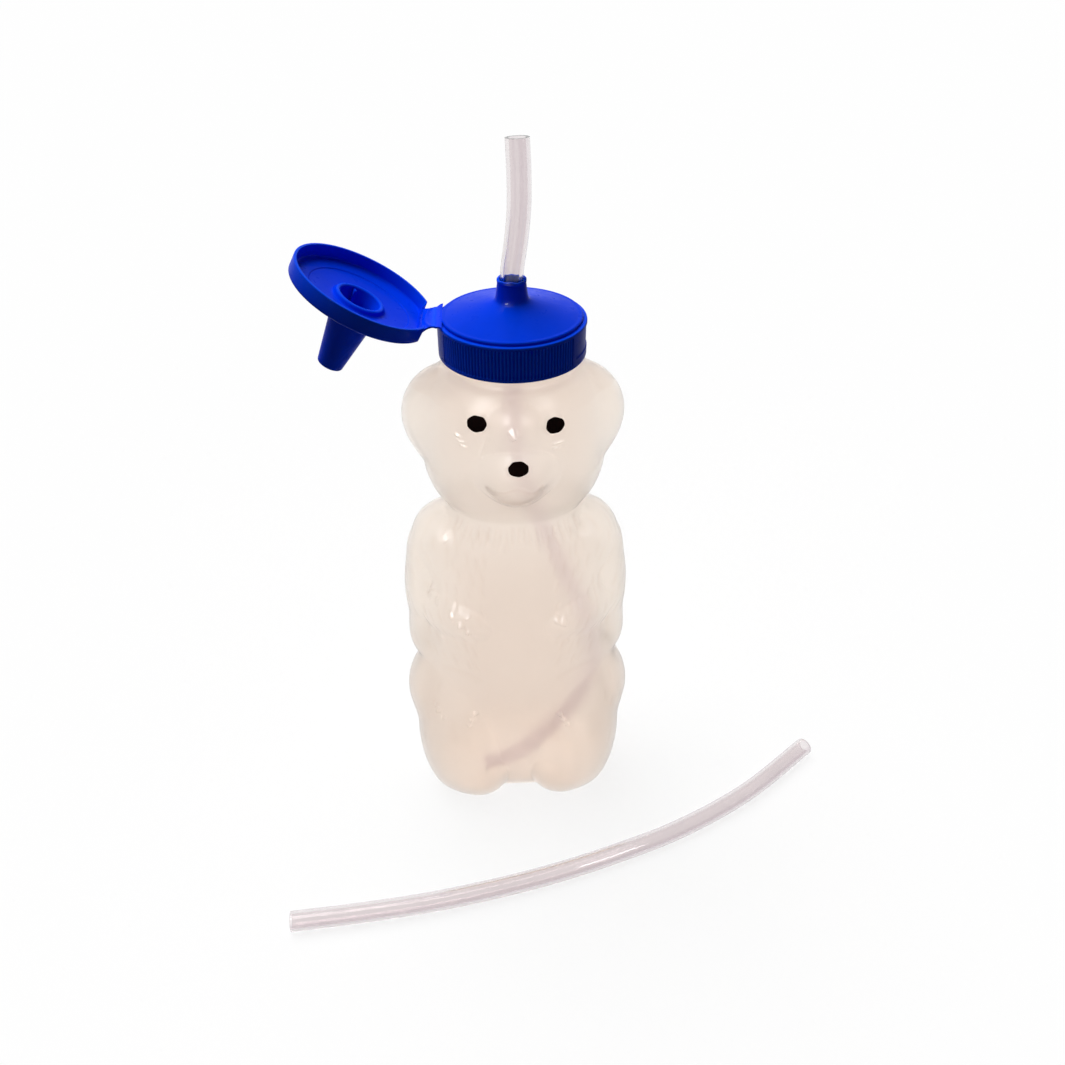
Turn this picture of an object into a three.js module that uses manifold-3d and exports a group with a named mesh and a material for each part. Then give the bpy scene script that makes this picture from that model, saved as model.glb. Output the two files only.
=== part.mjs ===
// Bear-shaped squeeze cup with a screw cap, a hinged lid, a drinking straw and a spare straw.
// Millimetres, +Z up. The origin is on the bottle's axis at the floor and the bear looks along -Y.

import * as THREE from 'three';
import { mergeVertices } from 'three/addons/utils/BufferGeometryUtils.js';
import Module from 'manifold-3d';

// Driving sizes of the bottle: the bear without its neck
const BODY_WIDTH = 74.5;
const BODY_DEPTH = 57.6;
const BODY_HEIGHT = 158.5;
const WALL = 1.3;
const FOOT_ROUNDING = 4;

// Neck and its thread
const NECK_HEIGHT = 10.5;
const NECK_RADIUS = 17.4;
const NECK_WALL = 1.5;
const THREAD_PITCH = 4.23;
const THREAD_DEPTH = 1.05;
const THREAD_WIDTH = 2.0;
const THREAD_TURNS = 1.25;
const THREAD_CLEARANCE = 0.4;
const NECK_SEAM = 0.1;

// Gasket under the deck
const GASKET_THICKNESS = 1.1;
const SEAT_GAP = 0.1;

// Screw cap
const SKIRT_WALL = 1.1;
const RIB_HEIGHT = 0.35;
const RIB_PITCH_DEGREES = 360 / 136;
const SKIRT_HEIGHT = 9.8;
const PLAIN_BAND = 0.9;
const PLAIN_BY_HINGE = 25;
const PLAIN_BY_THUMB = 40;
const DECK_THICKNESS = 1.4;
const DECK_STEP = 1.0;
const DECK_SET_IN = 1.1;
const DECK_RISE = 3.2;
const SPOUT_HEIGHT = 6.4;
const SPOUT_WALL = 0.6;
const SPOUT_TAPER = 0.5;

// Straws
const STRAW_RADIUS = 3.1;
const STRAW_WALL = 0.95;
const STRAW_FIT = 0.15;
const STRAW_ABOVE_SPOUT = 34.5;

// Lid and its strap
const LID_RIM = 0.8;
const LID_CLEARANCE = 0.25;
const LID_OVERHANG = 0.3;
const LID_HEIGHT = 4.6;
const LID_THICKNESS = 1.2;
const LID_RISE = 1.65;
const COVER_LENGTH = 25.3;
const COVER_MOUTH_CLEARANCE = 1.3;
const COVER_WALL = 0.95;
const COLLAR_WALL = 1.3;
const STRAP_WIDTH = 15.4;
const STRAP_THICKNESS = 0.6;
const STRAP_GAP = 0.1;
const STRAP_TO_LID_GAP = 0.3;
const LID_OPEN_DEGREES = 151;
const HINGE_DIRECTION_DEGREES = 180;

// Printed dots
const PRINT_THICKNESS = 0.3;
const PRINT_GAP = 0.25;

// Mesh fineness
const FRONT_COLUMNS = 26;
const BACK_COLUMNS = 16;
const ROUND_SEGMENTS = 44;

// Sizes that follow from the ones above
const NECK_TOP = BODY_HEIGHT + NECK_HEIGHT;
const NECK_BORE = NECK_RADIUS - NECK_WALL;
const SHELL_TOP = BODY_HEIGHT - 0.6;
const DECK_UNDERSIDE = NECK_TOP + GASKET_THICKNESS + 2 * SEAT_GAP;
const CAP_INNER = NECK_RADIUS + THREAD_DEPTH + THREAD_CLEARANCE;
const SKIRT_RADIUS = CAP_INNER + SKIRT_WALL;
const CAP_RADIUS = SKIRT_RADIUS + RIB_HEIGHT;
const SHOULDER = DECK_UNDERSIDE + DECK_THICKNESS - 0.3;
const SKIRT_FOOT = SHOULDER - SKIRT_HEIGHT;
const DECK_RIM = SHOULDER + DECK_STEP;
const DECK_RADIUS = CAP_RADIUS - DECK_SET_IN;
const DECK_CROWN = DECK_RIM + DECK_RISE;
const SPOUT_TOP = DECK_CROWN + SPOUT_HEIGHT;
const SPOUT_BORE = STRAW_RADIUS + STRAW_FIT;
const SPOUT_TIP = SPOUT_BORE + SPOUT_WALL;
const SPOUT_ROOT = SPOUT_TIP + SPOUT_TAPER;
const LID_RADIUS = DECK_RADIUS + LID_OVERHANG;
const LID_FOOT = DECK_RIM + LID_CLEARANCE;
const LID_FLAT = Math.sqrt(LID_RADIUS ** 2 - (STRAP_WIDTH / 2 + 1.3) ** 2);
const HINGE_RADIUS = CAP_RADIUS - 0.2;
const HINGE_HEIGHT = SHOULDER + STRAP_GAP + STRAP_THICKNESS / 2;
const DECK_FLAT = DECK_RADIUS - 0.45;

// The bear and the straw inside it are drawn at 74.5 x 57.6 x 158.5 and stretched to the driving sizes
const STRETCH = new THREE.Vector3(BODY_WIDTH / 74.5, BODY_DEPTH / 57.6, BODY_HEIGHT / 158.5);
const radians = THREE.MathUtils.degToRad;

const wasm = await Module();
wasm.setup();

// Mesh helpers

// One closed skin with shared corners, facing outwards
function closedSkin(geometry) {
  geometry.deleteAttribute('normal');
  geometry.deleteAttribute('uv');
  const skin = mergeVertices(geometry, 1e-4);
  const index = skin.index.array;
  const corner = [new THREE.Vector3(), new THREE.Vector3(), new THREE.Vector3()];
  let volume = 0;
  for (let i = 0; i < index.length; i += 3) {
    corner.forEach((point, k) => point.fromBufferAttribute(skin.attributes.position, index[i + k]));
    volume += corner[0].dot(corner[1].cross(corner[2]));
  }
  if (volume < 0) {
    for (let i = 0; i < index.length; i += 3) {
      [index[i], index[i + 1]] = [index[i + 1], index[i]];
    }
  }
  return skin;
}

function solid(geometry) {
  const skin = closedSkin(geometry);
  return new wasm.Manifold(new wasm.Mesh({
    numProp: 3,
    vertProperties: new Float32Array(skin.attributes.position.array),
    triVerts: new Uint32Array(skin.index.array),
  }));
}

function skinOf(manifold) {
  const mesh = manifold.getMesh();
  const geometry = new THREE.BufferGeometry();
  geometry.setAttribute('position', new THREE.BufferAttribute(new Float32Array(mesh.vertProperties), 3));
  geometry.setIndex(new THREE.BufferAttribute(new Uint32Array(mesh.triVerts), 1));
  return geometry;
}

function piece(name, geometry, colour, roughness) {
  const skin = geometry.index ? geometry : closedSkin(geometry);
  skin.computeVertexNormals();
  const material = new THREE.MeshStandardMaterial({ color: colour, roughness, metalness: 0 });
  const mesh = new THREE.Mesh(skin, material);
  mesh.name = name;
  return mesh;
}

// Rows of points, each row a closed ring of the same count or a single point, joined into a skin
function skinOfRows(rows) {
  const points = [];
  const starts = rows.map((row) => points.push(...row) - row.length);
  const faces = [];
  const join = (a, b) => {
    const count = Math.max(rows[a].length, rows[b].length);
    for (let i = 0; i < count; i += 1) {
      const next = (i + 1) % count;
      const [a0, a1] = [i, next].map((k) => starts[a] + (rows[a].length === 1 ? 0 : k));
      const [b0, b1] = [i, next].map((k) => starts[b] + (rows[b].length === 1 ? 0 : k));
      if (a0 !== a1) faces.push(a0, a1, b0);
      if (b0 !== b1) faces.push(a1, b1, b0);
    }
  };
  for (let row = 0; row + 1 < rows.length; row += 1) join(row, row + 1);
  const geometry = new THREE.BufferGeometry().setFromPoints(points);
  geometry.setIndex(faces);
  return closedSkin(geometry);
}

function middleOf(row) {
  return row.reduce((sum, point) => sum.add(point), new THREE.Vector3()).divideScalar(row.length);
}

function turned(outline) {
  const points = outline.map(([radius, height]) => new THREE.Vector2(radius, height));
  return new THREE.LatheGeometry(points, ROUND_SEGMENTS).rotateX(Math.PI / 2);
}

// A ridge wound along a helix, standing between the radii foot and crest
function helixRidge(foot, crest, startHeight, startTurn, turns) {
  const steps = Math.round(turns * 28);
  const rows = [];
  for (let step = 0; step <= steps; step += 1) {
    const angle = (startTurn + (turns * step) / steps) * 2 * Math.PI;
    const height = startHeight + (angle / (2 * Math.PI)) * THREAD_PITCH;
    const ends = Math.min(step, steps - step);
    const fullness = Math.min(1, 0.25 + ends / 3);
    const tip = foot + (crest - foot) * fullness;
    const corners = [[foot, -0.5], [tip, -0.28], [tip, 0.28], [foot, 0.5]];
    rows.push(corners.map(([radius, share]) => new THREE.Vector3(
      radius * Math.cos(angle), radius * Math.sin(angle), height + share * THREAD_WIDTH)));
  }
  return skinOfRows([[middleOf(rows[0])], ...rows, [middleOf(rows[rows.length - 1])]]);
}

// The bear's outside

// The trunk and head without limbs: height, half width, half depth, shift towards the back
const TRUNK = [
  [0, 30, 22, 2], [6, 31.4, 22.8, 2], [20, 32.3, 24.6, 1.5], [36, 32.7, 26, 0.8], [52, 32.2, 25.8, 0.5],
  [66, 32, 25.6, 0.5], [80, 31, 25, 0.5], [92, 28.4, 22.8, 0.5], [101, 25.6, 20.4, 0.5],
  [108, 22.2, 18, 0.5], [113.6, 20.4, 17, 0.5], [117, 22, 18.6, 0.3], [121, 24.4, 20.6, 0],
  [126, 26.1, 22, 0], [131, 26.8, 22.7, 0], [138, 27, 23.2, 0], [145, 26.6, 23.1, 0],
  [150, 25.2, 22.4, 0], [154, 22.8, 21, 0], [157, 19.9, 19.3, 0], [158.5, 18, 18, 0],
];

// Lobes that stand out of it: centre, half sizes, turn in plan. Those off the middle come in pairs.
const LOBES = [
  { at: [17.6, 1, 142.3], half: [14.2, 9.5, 14.4], turn: 0 },
  { at: [0, -18.5, 134.4], half: [10.3, 12.6, 9.2], turn: 0 },
  { at: [0, -15.5, 147], half: [6.6, 9.3, 9], turn: 0 },
  { at: [20, 0, 98], half: [12.8, 13, 13.5], turn: 0 },
  { at: [28, -1, 80], half: [7.9, 10.5, 22], turn: 0 },
  { at: [25.6, -4, 64], half: [9.8, 10, 12], turn: 0 },
  { at: [21, -14.9, 80], half: [15, 6, 6.8], turn: 41 },
  { at: [0, -8, 66], half: [23, 18.3, 30], turn: 0 },
  { at: [20.6, -6, 41], half: [16.8, 16, 19], turn: 0 },
  { at: [18.6, -9.5, 24], half: [16.4, 17.6, 34], turn: 0 },
  { at: [14.5, -14.5, 10], half: [12, 12.4, 14], turn: 0 },
];
const BLEND = 3.5;
const PLAN_POWER = 2.2;

function trunkSection(height) {
  let k = 0;
  while (k + 2 < TRUNK.length && TRUNK[k + 1][0] <= height) k += 1;
  const rows = [TRUNK[Math.max(k - 1, 0)], TRUNK[k], TRUNK[k + 1], TRUNK[Math.min(k + 2, TRUNK.length - 1)]];
  const span = rows[2][0] - rows[1][0];
  const t = THREE.MathUtils.clamp((height - rows[1][0]) / span, 0, 1);
  return [1, 2, 3].map((c) => {
    const slopeIn = ((rows[2][c] - rows[0][c]) / Math.max(rows[2][0] - rows[0][0], span)) * span;
    const slopeOut = ((rows[3][c] - rows[1][c]) / Math.max(rows[3][0] - rows[1][0], span)) * span;
    const a = 2 * rows[1][c] - 2 * rows[2][c] + slopeIn + slopeOut;
    const b = 3 * rows[2][c] - 3 * rows[1][c] - 2 * slopeIn - slopeOut;
    return ((a * t + b) * t + slopeIn) * t + rows[1][c];
  });
}

// How far a level ray from the axis runs before it leaves a lobe, or 0 when it misses
function lobeReach(lobe, side, angle, height) {
  const level = (height - lobe.at[2]) / lobe.half[2];
  if (Math.abs(level) >= 1) return 0;
  const turn = radians(lobe.turn) * side;
  const local = (x, y) => [
    (x * Math.cos(turn) + y * Math.sin(turn)) / lobe.half[0],
    (y * Math.cos(turn) - x * Math.sin(turn)) / lobe.half[1],
  ];
  const [cx, cy] = local(lobe.at[0] * side, lobe.at[1]);
  const [dx, dy] = local(Math.cos(angle), Math.sin(angle));
  const a = dx * dx + dy * dy;
  const b = dx * cx + dy * cy;
  const c = cx * cx + cy * cy + level * level - 1;
  const inside = b * b - a * c;
  return inside > 0 ? (b + Math.sqrt(inside)) / a : 0;
}

function softLarger(a, b) {
  const share = Math.max(BLEND - Math.abs(a - b), 0) / BLEND;
  return Math.max(a, b) + (share * share * BLEND) / 4;
}

function drawnRadius(angle, height) {
  const [halfWidth, halfDepth, shift] = trunkSection(height);
  const across = Math.abs(Math.cos(angle)) / halfWidth;
  const along = Math.abs(Math.sin(angle)) / (halfDepth + shift * Math.sin(angle));
  let radius = (across ** PLAN_POWER + along ** PLAN_POWER) ** (-1 / PLAN_POWER);
  for (const lobe of LOBES) {
    for (const side of lobe.at[0] === 0 ? [1] : [1, -1]) {
      radius = softLarger(radius, lobeReach(lobe, side, angle, height));
    }
  }
  const under = Math.max(FOOT_ROUNDING - height, 0);
  return radius - FOOT_ROUNDING + Math.sqrt(FOOT_ROUNDING ** 2 - under ** 2);
}

function bodyPoint(angle, height, lift = 0) {
  const radius = drawnRadius(angle, height) + lift;
  return new THREE.Vector3(radius * Math.cos(angle), radius * Math.sin(angle), height).multiply(STRETCH);
}

// Bottle: the bear's shell, and the threaded neck that stands on it

// Columns stand closer together across the bear's front
const frontSpan = radians(140);
const columns = [
  ...Array.from({ length: FRONT_COLUMNS }, (_, k) => -Math.PI / 2 + frontSpan * (k / FRONT_COLUMNS - 0.5)),
  ...Array.from({ length: BACK_COLUMNS }, (_, k) => (
    -Math.PI / 2 + frontSpan / 2 + (2 * Math.PI - frontSpan) * (k / BACK_COLUMNS))),
];

function ring(radius, height) {
  return columns.map((angle) => (
    new THREE.Vector3(radius * Math.cos(angle), radius * Math.sin(angle), height)));
}

function bottleShell() {
  const levels = [
    0, 1.2, 4, 10, 17, 25, 33, 40, 46, 50.5, 54, 59, 65, 71, 75.5, 80, 84.5, 90, 96, 101.5, 106,
    110, 113, 116, 120.5, 125.5, 130, 134.5, 139, 143.5, 148, 152, 155, 156.6,
  ];
  const outer = levels.map((height) => columns.map((angle) => bodyPoint(angle, height)));
  const shoulder = ring(NECK_RADIUS + 0.8, SHELL_TOP);
  const centre = [new THREE.Vector3(0, 0, 0)];

  // The inside follows the outside one wall thickness further in
  const skin = skinOfRows([centre, ...outer, shoulder, [new THREE.Vector3(0, 0, BODY_HEIGHT)]]);
  skin.computeVertexNormals();
  const normals = new Map();
  for (let i = 0; i < skin.attributes.position.count; i += 1) {
    const point = new THREE.Vector3().fromBufferAttribute(skin.attributes.position, i);
    const key = point.toArray().map((value) => value.toFixed(3)).join();
    normals.set(key, new THREE.Vector3().fromBufferAttribute(skin.attributes.normal, i));
  }
  const inward = (point) => {
    const key = point.toArray().map((value) => Math.fround(value).toFixed(3)).join();
    return point.clone().addScaledVector(normals.get(key), -WALL);
  };
  const inner = outer.map((row) => row.map(inward));
  inner[0].forEach((point) => point.setZ(WALL));

  return skinOfRows([
    centre, ...outer, shoulder, ring(NECK_BORE, SHELL_TOP),
    ...inner.reverse(), [new THREE.Vector3(0, 0, WALL)],
  ]);
}

const threadStart = NECK_TOP - 2.4 - THREAD_TURNS * THREAD_PITCH;
const neckThread = helixRidge(NECK_RADIUS - 0.3, NECK_RADIUS + THREAD_DEPTH, threadStart, 0, THREAD_TURNS);
const neckFoot = SHELL_TOP + NECK_SEAM;
const neckTube = turned([
  [NECK_RADIUS + 0.8, neckFoot], [NECK_RADIUS, neckFoot + 0.9], [NECK_RADIUS, NECK_TOP - 0.4],
  [NECK_RADIUS - 0.4, NECK_TOP], [NECK_BORE + 0.2, NECK_TOP], [NECK_BORE, NECK_TOP - 0.3],
  [NECK_BORE, neckFoot], [NECK_RADIUS + 0.8, neckFoot],
]);
const bottleNeck = skinOf(solid(neckTube).add(solid(neckThread)));

// Printed eyes and nose: an oval of skin just outside the bottle

function printedDot(angleDegrees, height, halfWidth, halfHeight) {
  const centre = radians(angleDegrees);
  const reach = drawnRadius(centre, height);
  const layer = (lift, share) => (share === 0 ? [bodyPoint(centre, height, lift)]
    : Array.from({ length: 14 }, (_, k) => (k * Math.PI) / 7).map((turn) => bodyPoint(
      centre + (Math.cos(turn) * halfWidth * share) / reach,
      height + Math.sin(turn) * halfHeight * share,
      lift)));
  const top = PRINT_GAP + PRINT_THICKNESS;
  return skinOfRows([
    layer(PRINT_GAP, 0), layer(PRINT_GAP, 0.6), layer(PRINT_GAP, 1),
    layer(top, 1), layer(top, 0.6), layer(top, 0),
  ]);
}

// Gasket

const gasket = closedSkin(turned([
  [NECK_BORE - 0.4, NECK_TOP + SEAT_GAP], [NECK_RADIUS + 0.2, NECK_TOP + SEAT_GAP],
  [NECK_RADIUS + 0.2, DECK_UNDERSIDE - SEAT_GAP], [NECK_BORE - 0.4, DECK_UNDERSIDE - SEAT_GAP],
  [NECK_BORE - 0.4, NECK_TOP + SEAT_GAP],
]));

// Screw cap: deck and spout, ribbed skirt, thread inside

function capBase() {
  const crownUnderside = DECK_CROWN - DECK_THICKNESS;
  const body = solid(turned([
    [SPOUT_BORE, SPOUT_TOP], [SPOUT_TIP, SPOUT_TOP], [SPOUT_ROOT, DECK_CROWN + 1.4],
    [SPOUT_ROOT + 0.5, DECK_CROWN + 0.5], [SPOUT_ROOT + 1.8, DECK_CROWN],
    [DECK_RADIUS - LID_RIM - 0.4, DECK_RIM], [DECK_RADIUS, DECK_RIM], [DECK_RADIUS, SHOULDER],
    [CAP_RADIUS - 0.25, SHOULDER], [CAP_RADIUS, SHOULDER - 0.25],
    [CAP_RADIUS, SHOULDER - PLAIN_BAND], [SKIRT_RADIUS, SHOULDER - PLAIN_BAND],
    [SKIRT_RADIUS, SKIRT_FOOT + PLAIN_BAND], [CAP_RADIUS, SKIRT_FOOT + PLAIN_BAND], [CAP_RADIUS, SKIRT_FOOT],
    [CAP_INNER, SKIRT_FOOT], [CAP_INNER, DECK_UNDERSIDE], [NECK_BORE - 1, DECK_UNDERSIDE],
    [SPOUT_ROOT + 1, crownUnderside], [SPOUT_BORE, crownUnderside], [SPOUT_BORE, SPOUT_TOP],
  ]));

  const outline = [];
  const ribs = Math.round(360 / RIB_PITCH_DEGREES);
  for (let k = 0; k < ribs; k += 1) {
    const fromHinge = Math.abs(((k + 0.5) * RIB_PITCH_DEGREES + 540) % 360 - 180);
    const plain = fromHinge < PLAIN_BY_HINGE || fromHinge > 180 - PLAIN_BY_THUMB;
    if (plain && k % 3 > 0) continue;
    [[k, plain ? CAP_RADIUS : SKIRT_RADIUS], [k + 0.5, CAP_RADIUS]].forEach(([place, radius]) => {
      const angle = radians(place * RIB_PITCH_DEGREES + HINGE_DIRECTION_DEGREES);
      outline.push(new THREE.Vector2((radius - 0.03) * Math.cos(angle), (radius - 0.03) * Math.sin(angle)));
    });
  }
  const ribbed = new THREE.Shape(outline);
  ribbed.holes.push(new THREE.Path().absarc(0, 0, CAP_INNER + SKIRT_WALL / 2, 0, 2 * Math.PI));
  const ribHeight = SKIRT_HEIGHT - 2 * PLAIN_BAND + 0.2;
  const ribBand = new THREE.ExtrudeGeometry(ribbed, {
    depth: ribHeight, bevelEnabled: false, curveSegments: 20,
  });
  ribBand.translate(0, 0, SKIRT_FOOT + PLAIN_BAND - 0.1);

  // The cap's thread runs half a pitch under the neck's and starts just inside the skirt's foot
  const capThreadBase = threadStart - THREAD_PITCH / 2;
  const capThreadTurn = (SKIRT_FOOT + 0.3 + THREAD_WIDTH / 2 - capThreadBase) / THREAD_PITCH;
  const capThread = helixRidge(
    CAP_INNER + 0.3, NECK_RADIUS + THREAD_CLEARANCE, capThreadBase, capThreadTurn, 1.1);

  // A flat on the deck's edge takes the end of the strap
  const flat = new THREE.BoxGeometry(6, STRAP_WIDTH + 1, 4);
  flat.translate(DECK_FLAT + 3, 0, SHOULDER + 2);
  flat.rotateZ(radians(HINGE_DIRECTION_DEGREES));
  return skinOf(body.add(solid(ribBand)).add(solid(capThread)).subtract(solid(flat)));
}

// Lid: drawn shut over the cap, then swung open about the strap

// Where a point of the shut lid goes when the lid is swung open: radius and height by the hinge line
function swung(radius, height) {
  const open = radians(LID_OPEN_DEGREES);
  const [inward, up] = [radius - HINGE_RADIUS, height - HINGE_HEIGHT];
  return [
    HINGE_RADIUS + inward * Math.cos(open) + up * Math.sin(open),
    HINGE_HEIGHT - inward * Math.sin(open) + up * Math.cos(open),
  ];
}

const STRAIGHT_WALL_FOOT = LID_FOOT + 1.9;

function lid() {
  const plate = LID_FOOT + LID_HEIGHT - LID_THICKNESS;
  const mouth = SPOUT_ROOT + COVER_MOUTH_CLEARANCE;
  const mouthHeight = DECK_CROWN + 0.6;
  const tip = LID_FOOT + COVER_LENGTH;
  const boreTop = SPOUT_TIP - 1.2;
  const body = solid(turned([
    [0, tip - LID_THICKNESS], [boreTop, tip - LID_THICKNESS], [mouth, mouthHeight],
    [mouth + COLLAR_WALL, mouthHeight], [mouth + COLLAR_WALL + 0.2, plate + LID_RISE],
    [LID_RADIUS - LID_RIM, plate], [LID_RADIUS - LID_RIM, LID_FOOT], [LID_RADIUS, LID_FOOT],
    [LID_RADIUS, plate + LID_THICKNESS - 0.4], [LID_RADIUS - 0.4, plate + LID_THICKNESS],
    [mouth + COVER_WALL + 0.5, plate + LID_RISE + LID_THICKNESS],
    [mouth + COVER_WALL - 0.4, plate + LID_RISE + LID_THICKNESS + 0.8],
    [boreTop + COVER_WALL, tip - 0.3], [boreTop + COVER_WALL - 0.3, tip], [0, tip],
  ]));

  // The rim is cut straight across where the strap joins it
  const away = new THREE.BoxGeometry(8, 2 * LID_RADIUS, 20).translate(LID_FLAT + 4, 0, LID_FOOT + 5);
  const wallHeight = plate + 0.5 - STRAIGHT_WALL_FOOT;
  const wall = new THREE.BoxGeometry(LID_RIM, STRAP_WIDTH + 2, wallHeight)
    .translate(LID_FLAT - LID_RIM / 2, 0, STRAIGHT_WALL_FOOT + wallHeight / 2);
  const rib = new THREE.BoxGeometry(1.2, 0.7, 4.5).translate(0.7 - mouth, 0, mouthHeight + 3.2);
  rib.rotateZ(radians(70));
  const shut = skinOf(body.subtract(solid(away)).add(solid(wall)).add(solid(rib)));

  shut.translate(-HINGE_RADIUS, 0, -HINGE_HEIGHT);
  shut.rotateY(radians(LID_OPEN_DEGREES));
  shut.translate(HINGE_RADIUS, 0, HINGE_HEIGHT);
  return shut.rotateZ(radians(HINGE_DIRECTION_DEGREES));
}

// Strap: a thin web, narrower in the middle, from the flat of the deck to the straight wall of the lid
function strap() {
  const [lidEnd, lidLevel] = swung(LID_FLAT, STRAIGHT_WALL_FOOT);
  const from = DECK_FLAT + STRAP_GAP;
  const to = lidEnd - STRAP_TO_LID_GAP;
  const rows = [0, 0.2, 0.4, 0.6, 0.8, 1].map((share) => {
    const along = from + (to - from) * share;
    const middle = HINGE_HEIGHT + (lidLevel - HINGE_HEIGHT) * share * share;
    const width = (STRAP_WIDTH / 2) * (0.86 + 0.56 * (share - 0.5) ** 2 + 0.1 * (1 - share) ** 2);
    const corners = [[-width, -0.5], [width, -0.5], [width, 0.5], [-width, 0.5]];
    return corners.map(([across, level]) => (
      new THREE.Vector3(along, across, middle + level * STRAP_THICKNESS)));
  });
  return skinOfRows([[middleOf(rows[0])], ...rows, [middleOf(rows[rows.length - 1])]])
    .rotateZ(radians(HINGE_DIRECTION_DEGREES));
}

// Straws

function straw(points, steps) {
  const section = new THREE.Shape().absarc(0, 0, STRAW_RADIUS, 0, 2 * Math.PI);
  section.holes.push(new THREE.Path().absarc(0, 0, STRAW_RADIUS - STRAW_WALL, 0, 2 * Math.PI, true));
  const path = new THREE.CatmullRomCurve3(points, false, 'centripetal');
  return new THREE.ExtrudeGeometry(section, {
    steps, bevelEnabled: false, curveSegments: 6, extrudePath: path,
  });
}

// Inside the bottle the straw leans to the right wall and turns back along the floor
const strawInBottle = [
  [-12.5, -15, 8], [-2, -13.5, 11], [12, -9.5, 20.5], [22.5, -5, 33], [26.4, -2.5, 47],
  [23.8, -1, 64], [17.4, 0, 82], [9.9, 0, 100], [4.2, 0, 115], [0.9, 0, 129],
].map(([x, y, z]) => new THREE.Vector3(x, y, z).multiply(STRETCH));
const strawAbove = [
  [0, 0, -39], [0, 0, -30], [0, 0, -15], [0, 0, 0], [0.25, 0, 3], [1.3, 0.1, 10], [2.1, 0.5, 18],
  [2.2, 1.2, 26], [1.9, 2, STRAW_ABOVE_SPOUT],
].map(([x, y, z]) => new THREE.Vector3(x, y, z + SPOUT_TOP));
const drinkingStraw = straw([...strawInBottle, ...strawAbove], 32);

// The spare lies on the floor in front of the bear
const spareStraw = straw([
  [-73.6, -70.3], [-50.2, -68.3], [-25.7, -65.2], [6.2, -58.6], [31.7, -51], [54.3, -42.5], [79.7, -29],
  [106.5, -9.1],
].map(([x, y]) => new THREE.Vector3(x, y, STRAW_RADIUS)), 16);

// Assembly

const MILKY = 0xe5d9cd;
const BLUE = 0x0a2fd0;
const STRAP_BLUE = 0x2a63f2;
const CLEAR = 0xe2d3ce;
const INK = 0x120706;

const cup = new THREE.Group();
cup.name = 'honey_bear_straw_cup';
cup.add(piece('bottle_shell', bottleShell(), MILKY, 0.28));
cup.add(piece('bottle_neck', bottleNeck, MILKY, 0.28));
cup.add(piece('left_eye_print', printedDot(-116, 150, 2.65, 2.1), INK, 0.35));
cup.add(piece('right_eye_print', printedDot(-64, 150, 2.65, 2.1), INK, 0.35));
cup.add(piece('nose_print', printedDot(-90, 140.5, 2.6, 1.35), INK, 0.35));
cup.add(piece('neck_gasket', gasket, 0xe9e9e6, 0.7));
cup.add(piece('cap_base', capBase(), BLUE, 0.35));
cup.add(piece('hinge_strap', strap(), STRAP_BLUE, 0.35));
cup.add(piece('flip_lid', lid(), BLUE, 0.35));
cup.add(piece('drinking_straw', drinkingStraw, CLEAR, 0.15));
cup.add(piece('spare_straw', spareStraw, CLEAR, 0.15));

export default cup;
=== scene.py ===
"""Bear-shaped straw cup: milky squeeze bottle, blue screw cap with a flip lid, and two clear straws."""

import itertools
import math
from contextlib import contextmanager

import bpy
import numpy as np
from bpy.props import FloatProperty, FloatVectorProperty, IntProperty, PointerProperty
from bpy.types import Operator, Panel, PropertyGroup
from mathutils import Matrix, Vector


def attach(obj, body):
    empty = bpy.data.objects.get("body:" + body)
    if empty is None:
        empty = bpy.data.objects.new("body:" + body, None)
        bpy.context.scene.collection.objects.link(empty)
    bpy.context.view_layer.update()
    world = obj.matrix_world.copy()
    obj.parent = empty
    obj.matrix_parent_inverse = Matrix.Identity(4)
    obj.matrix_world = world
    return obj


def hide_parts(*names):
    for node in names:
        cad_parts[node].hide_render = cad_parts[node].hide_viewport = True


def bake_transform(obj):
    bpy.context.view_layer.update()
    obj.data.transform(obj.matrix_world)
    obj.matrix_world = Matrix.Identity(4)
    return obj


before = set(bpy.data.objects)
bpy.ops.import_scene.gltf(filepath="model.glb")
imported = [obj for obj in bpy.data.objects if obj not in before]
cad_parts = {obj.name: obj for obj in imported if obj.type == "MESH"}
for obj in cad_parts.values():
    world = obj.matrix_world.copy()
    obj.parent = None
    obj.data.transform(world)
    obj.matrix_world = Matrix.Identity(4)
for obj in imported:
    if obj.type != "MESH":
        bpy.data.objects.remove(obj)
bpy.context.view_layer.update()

bl_info = {
    "name": "Bear straw cup",
    "version": (1, 0, 0),
    "blender": (4, 5, 0),
    "location": "3D View > Sidebar > Cup",
    "description": "Makes a bear-shaped squeeze cup with a screw cap, a flip lid and two straws",
    "category": "Add Mesh",
}

# Drawn lengths are in millimetres, Blender's in metres
MM = 0.001
# The bear as its mould is drawn: width over the arms, depth, height to the foot of the neck
DRAWN_SIZE = (74.5, 57.6, 158.5)


def screen(red, green, blue):
    """A colour as a screen shows it, from 0 to 255, in Blender's own linear numbers."""
    def straight(value):
        share = value / 255
        return share / 12.92 if share <= 0.04045 else ((share + 0.055) / 1.055) ** 2.4
    return tuple(straight(value) for value in (red, green, blue))


def length(name, description, default):
    return FloatProperty(name=name, description=description, default=default * MM, min=0, precision=5,
                         unit="LENGTH")


def colour(name, description, default):
    return FloatVectorProperty(name=name, description=description, default=default, min=0, max=1, size=3,
                               subtype="COLOR")


# Sizes and colours


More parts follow.
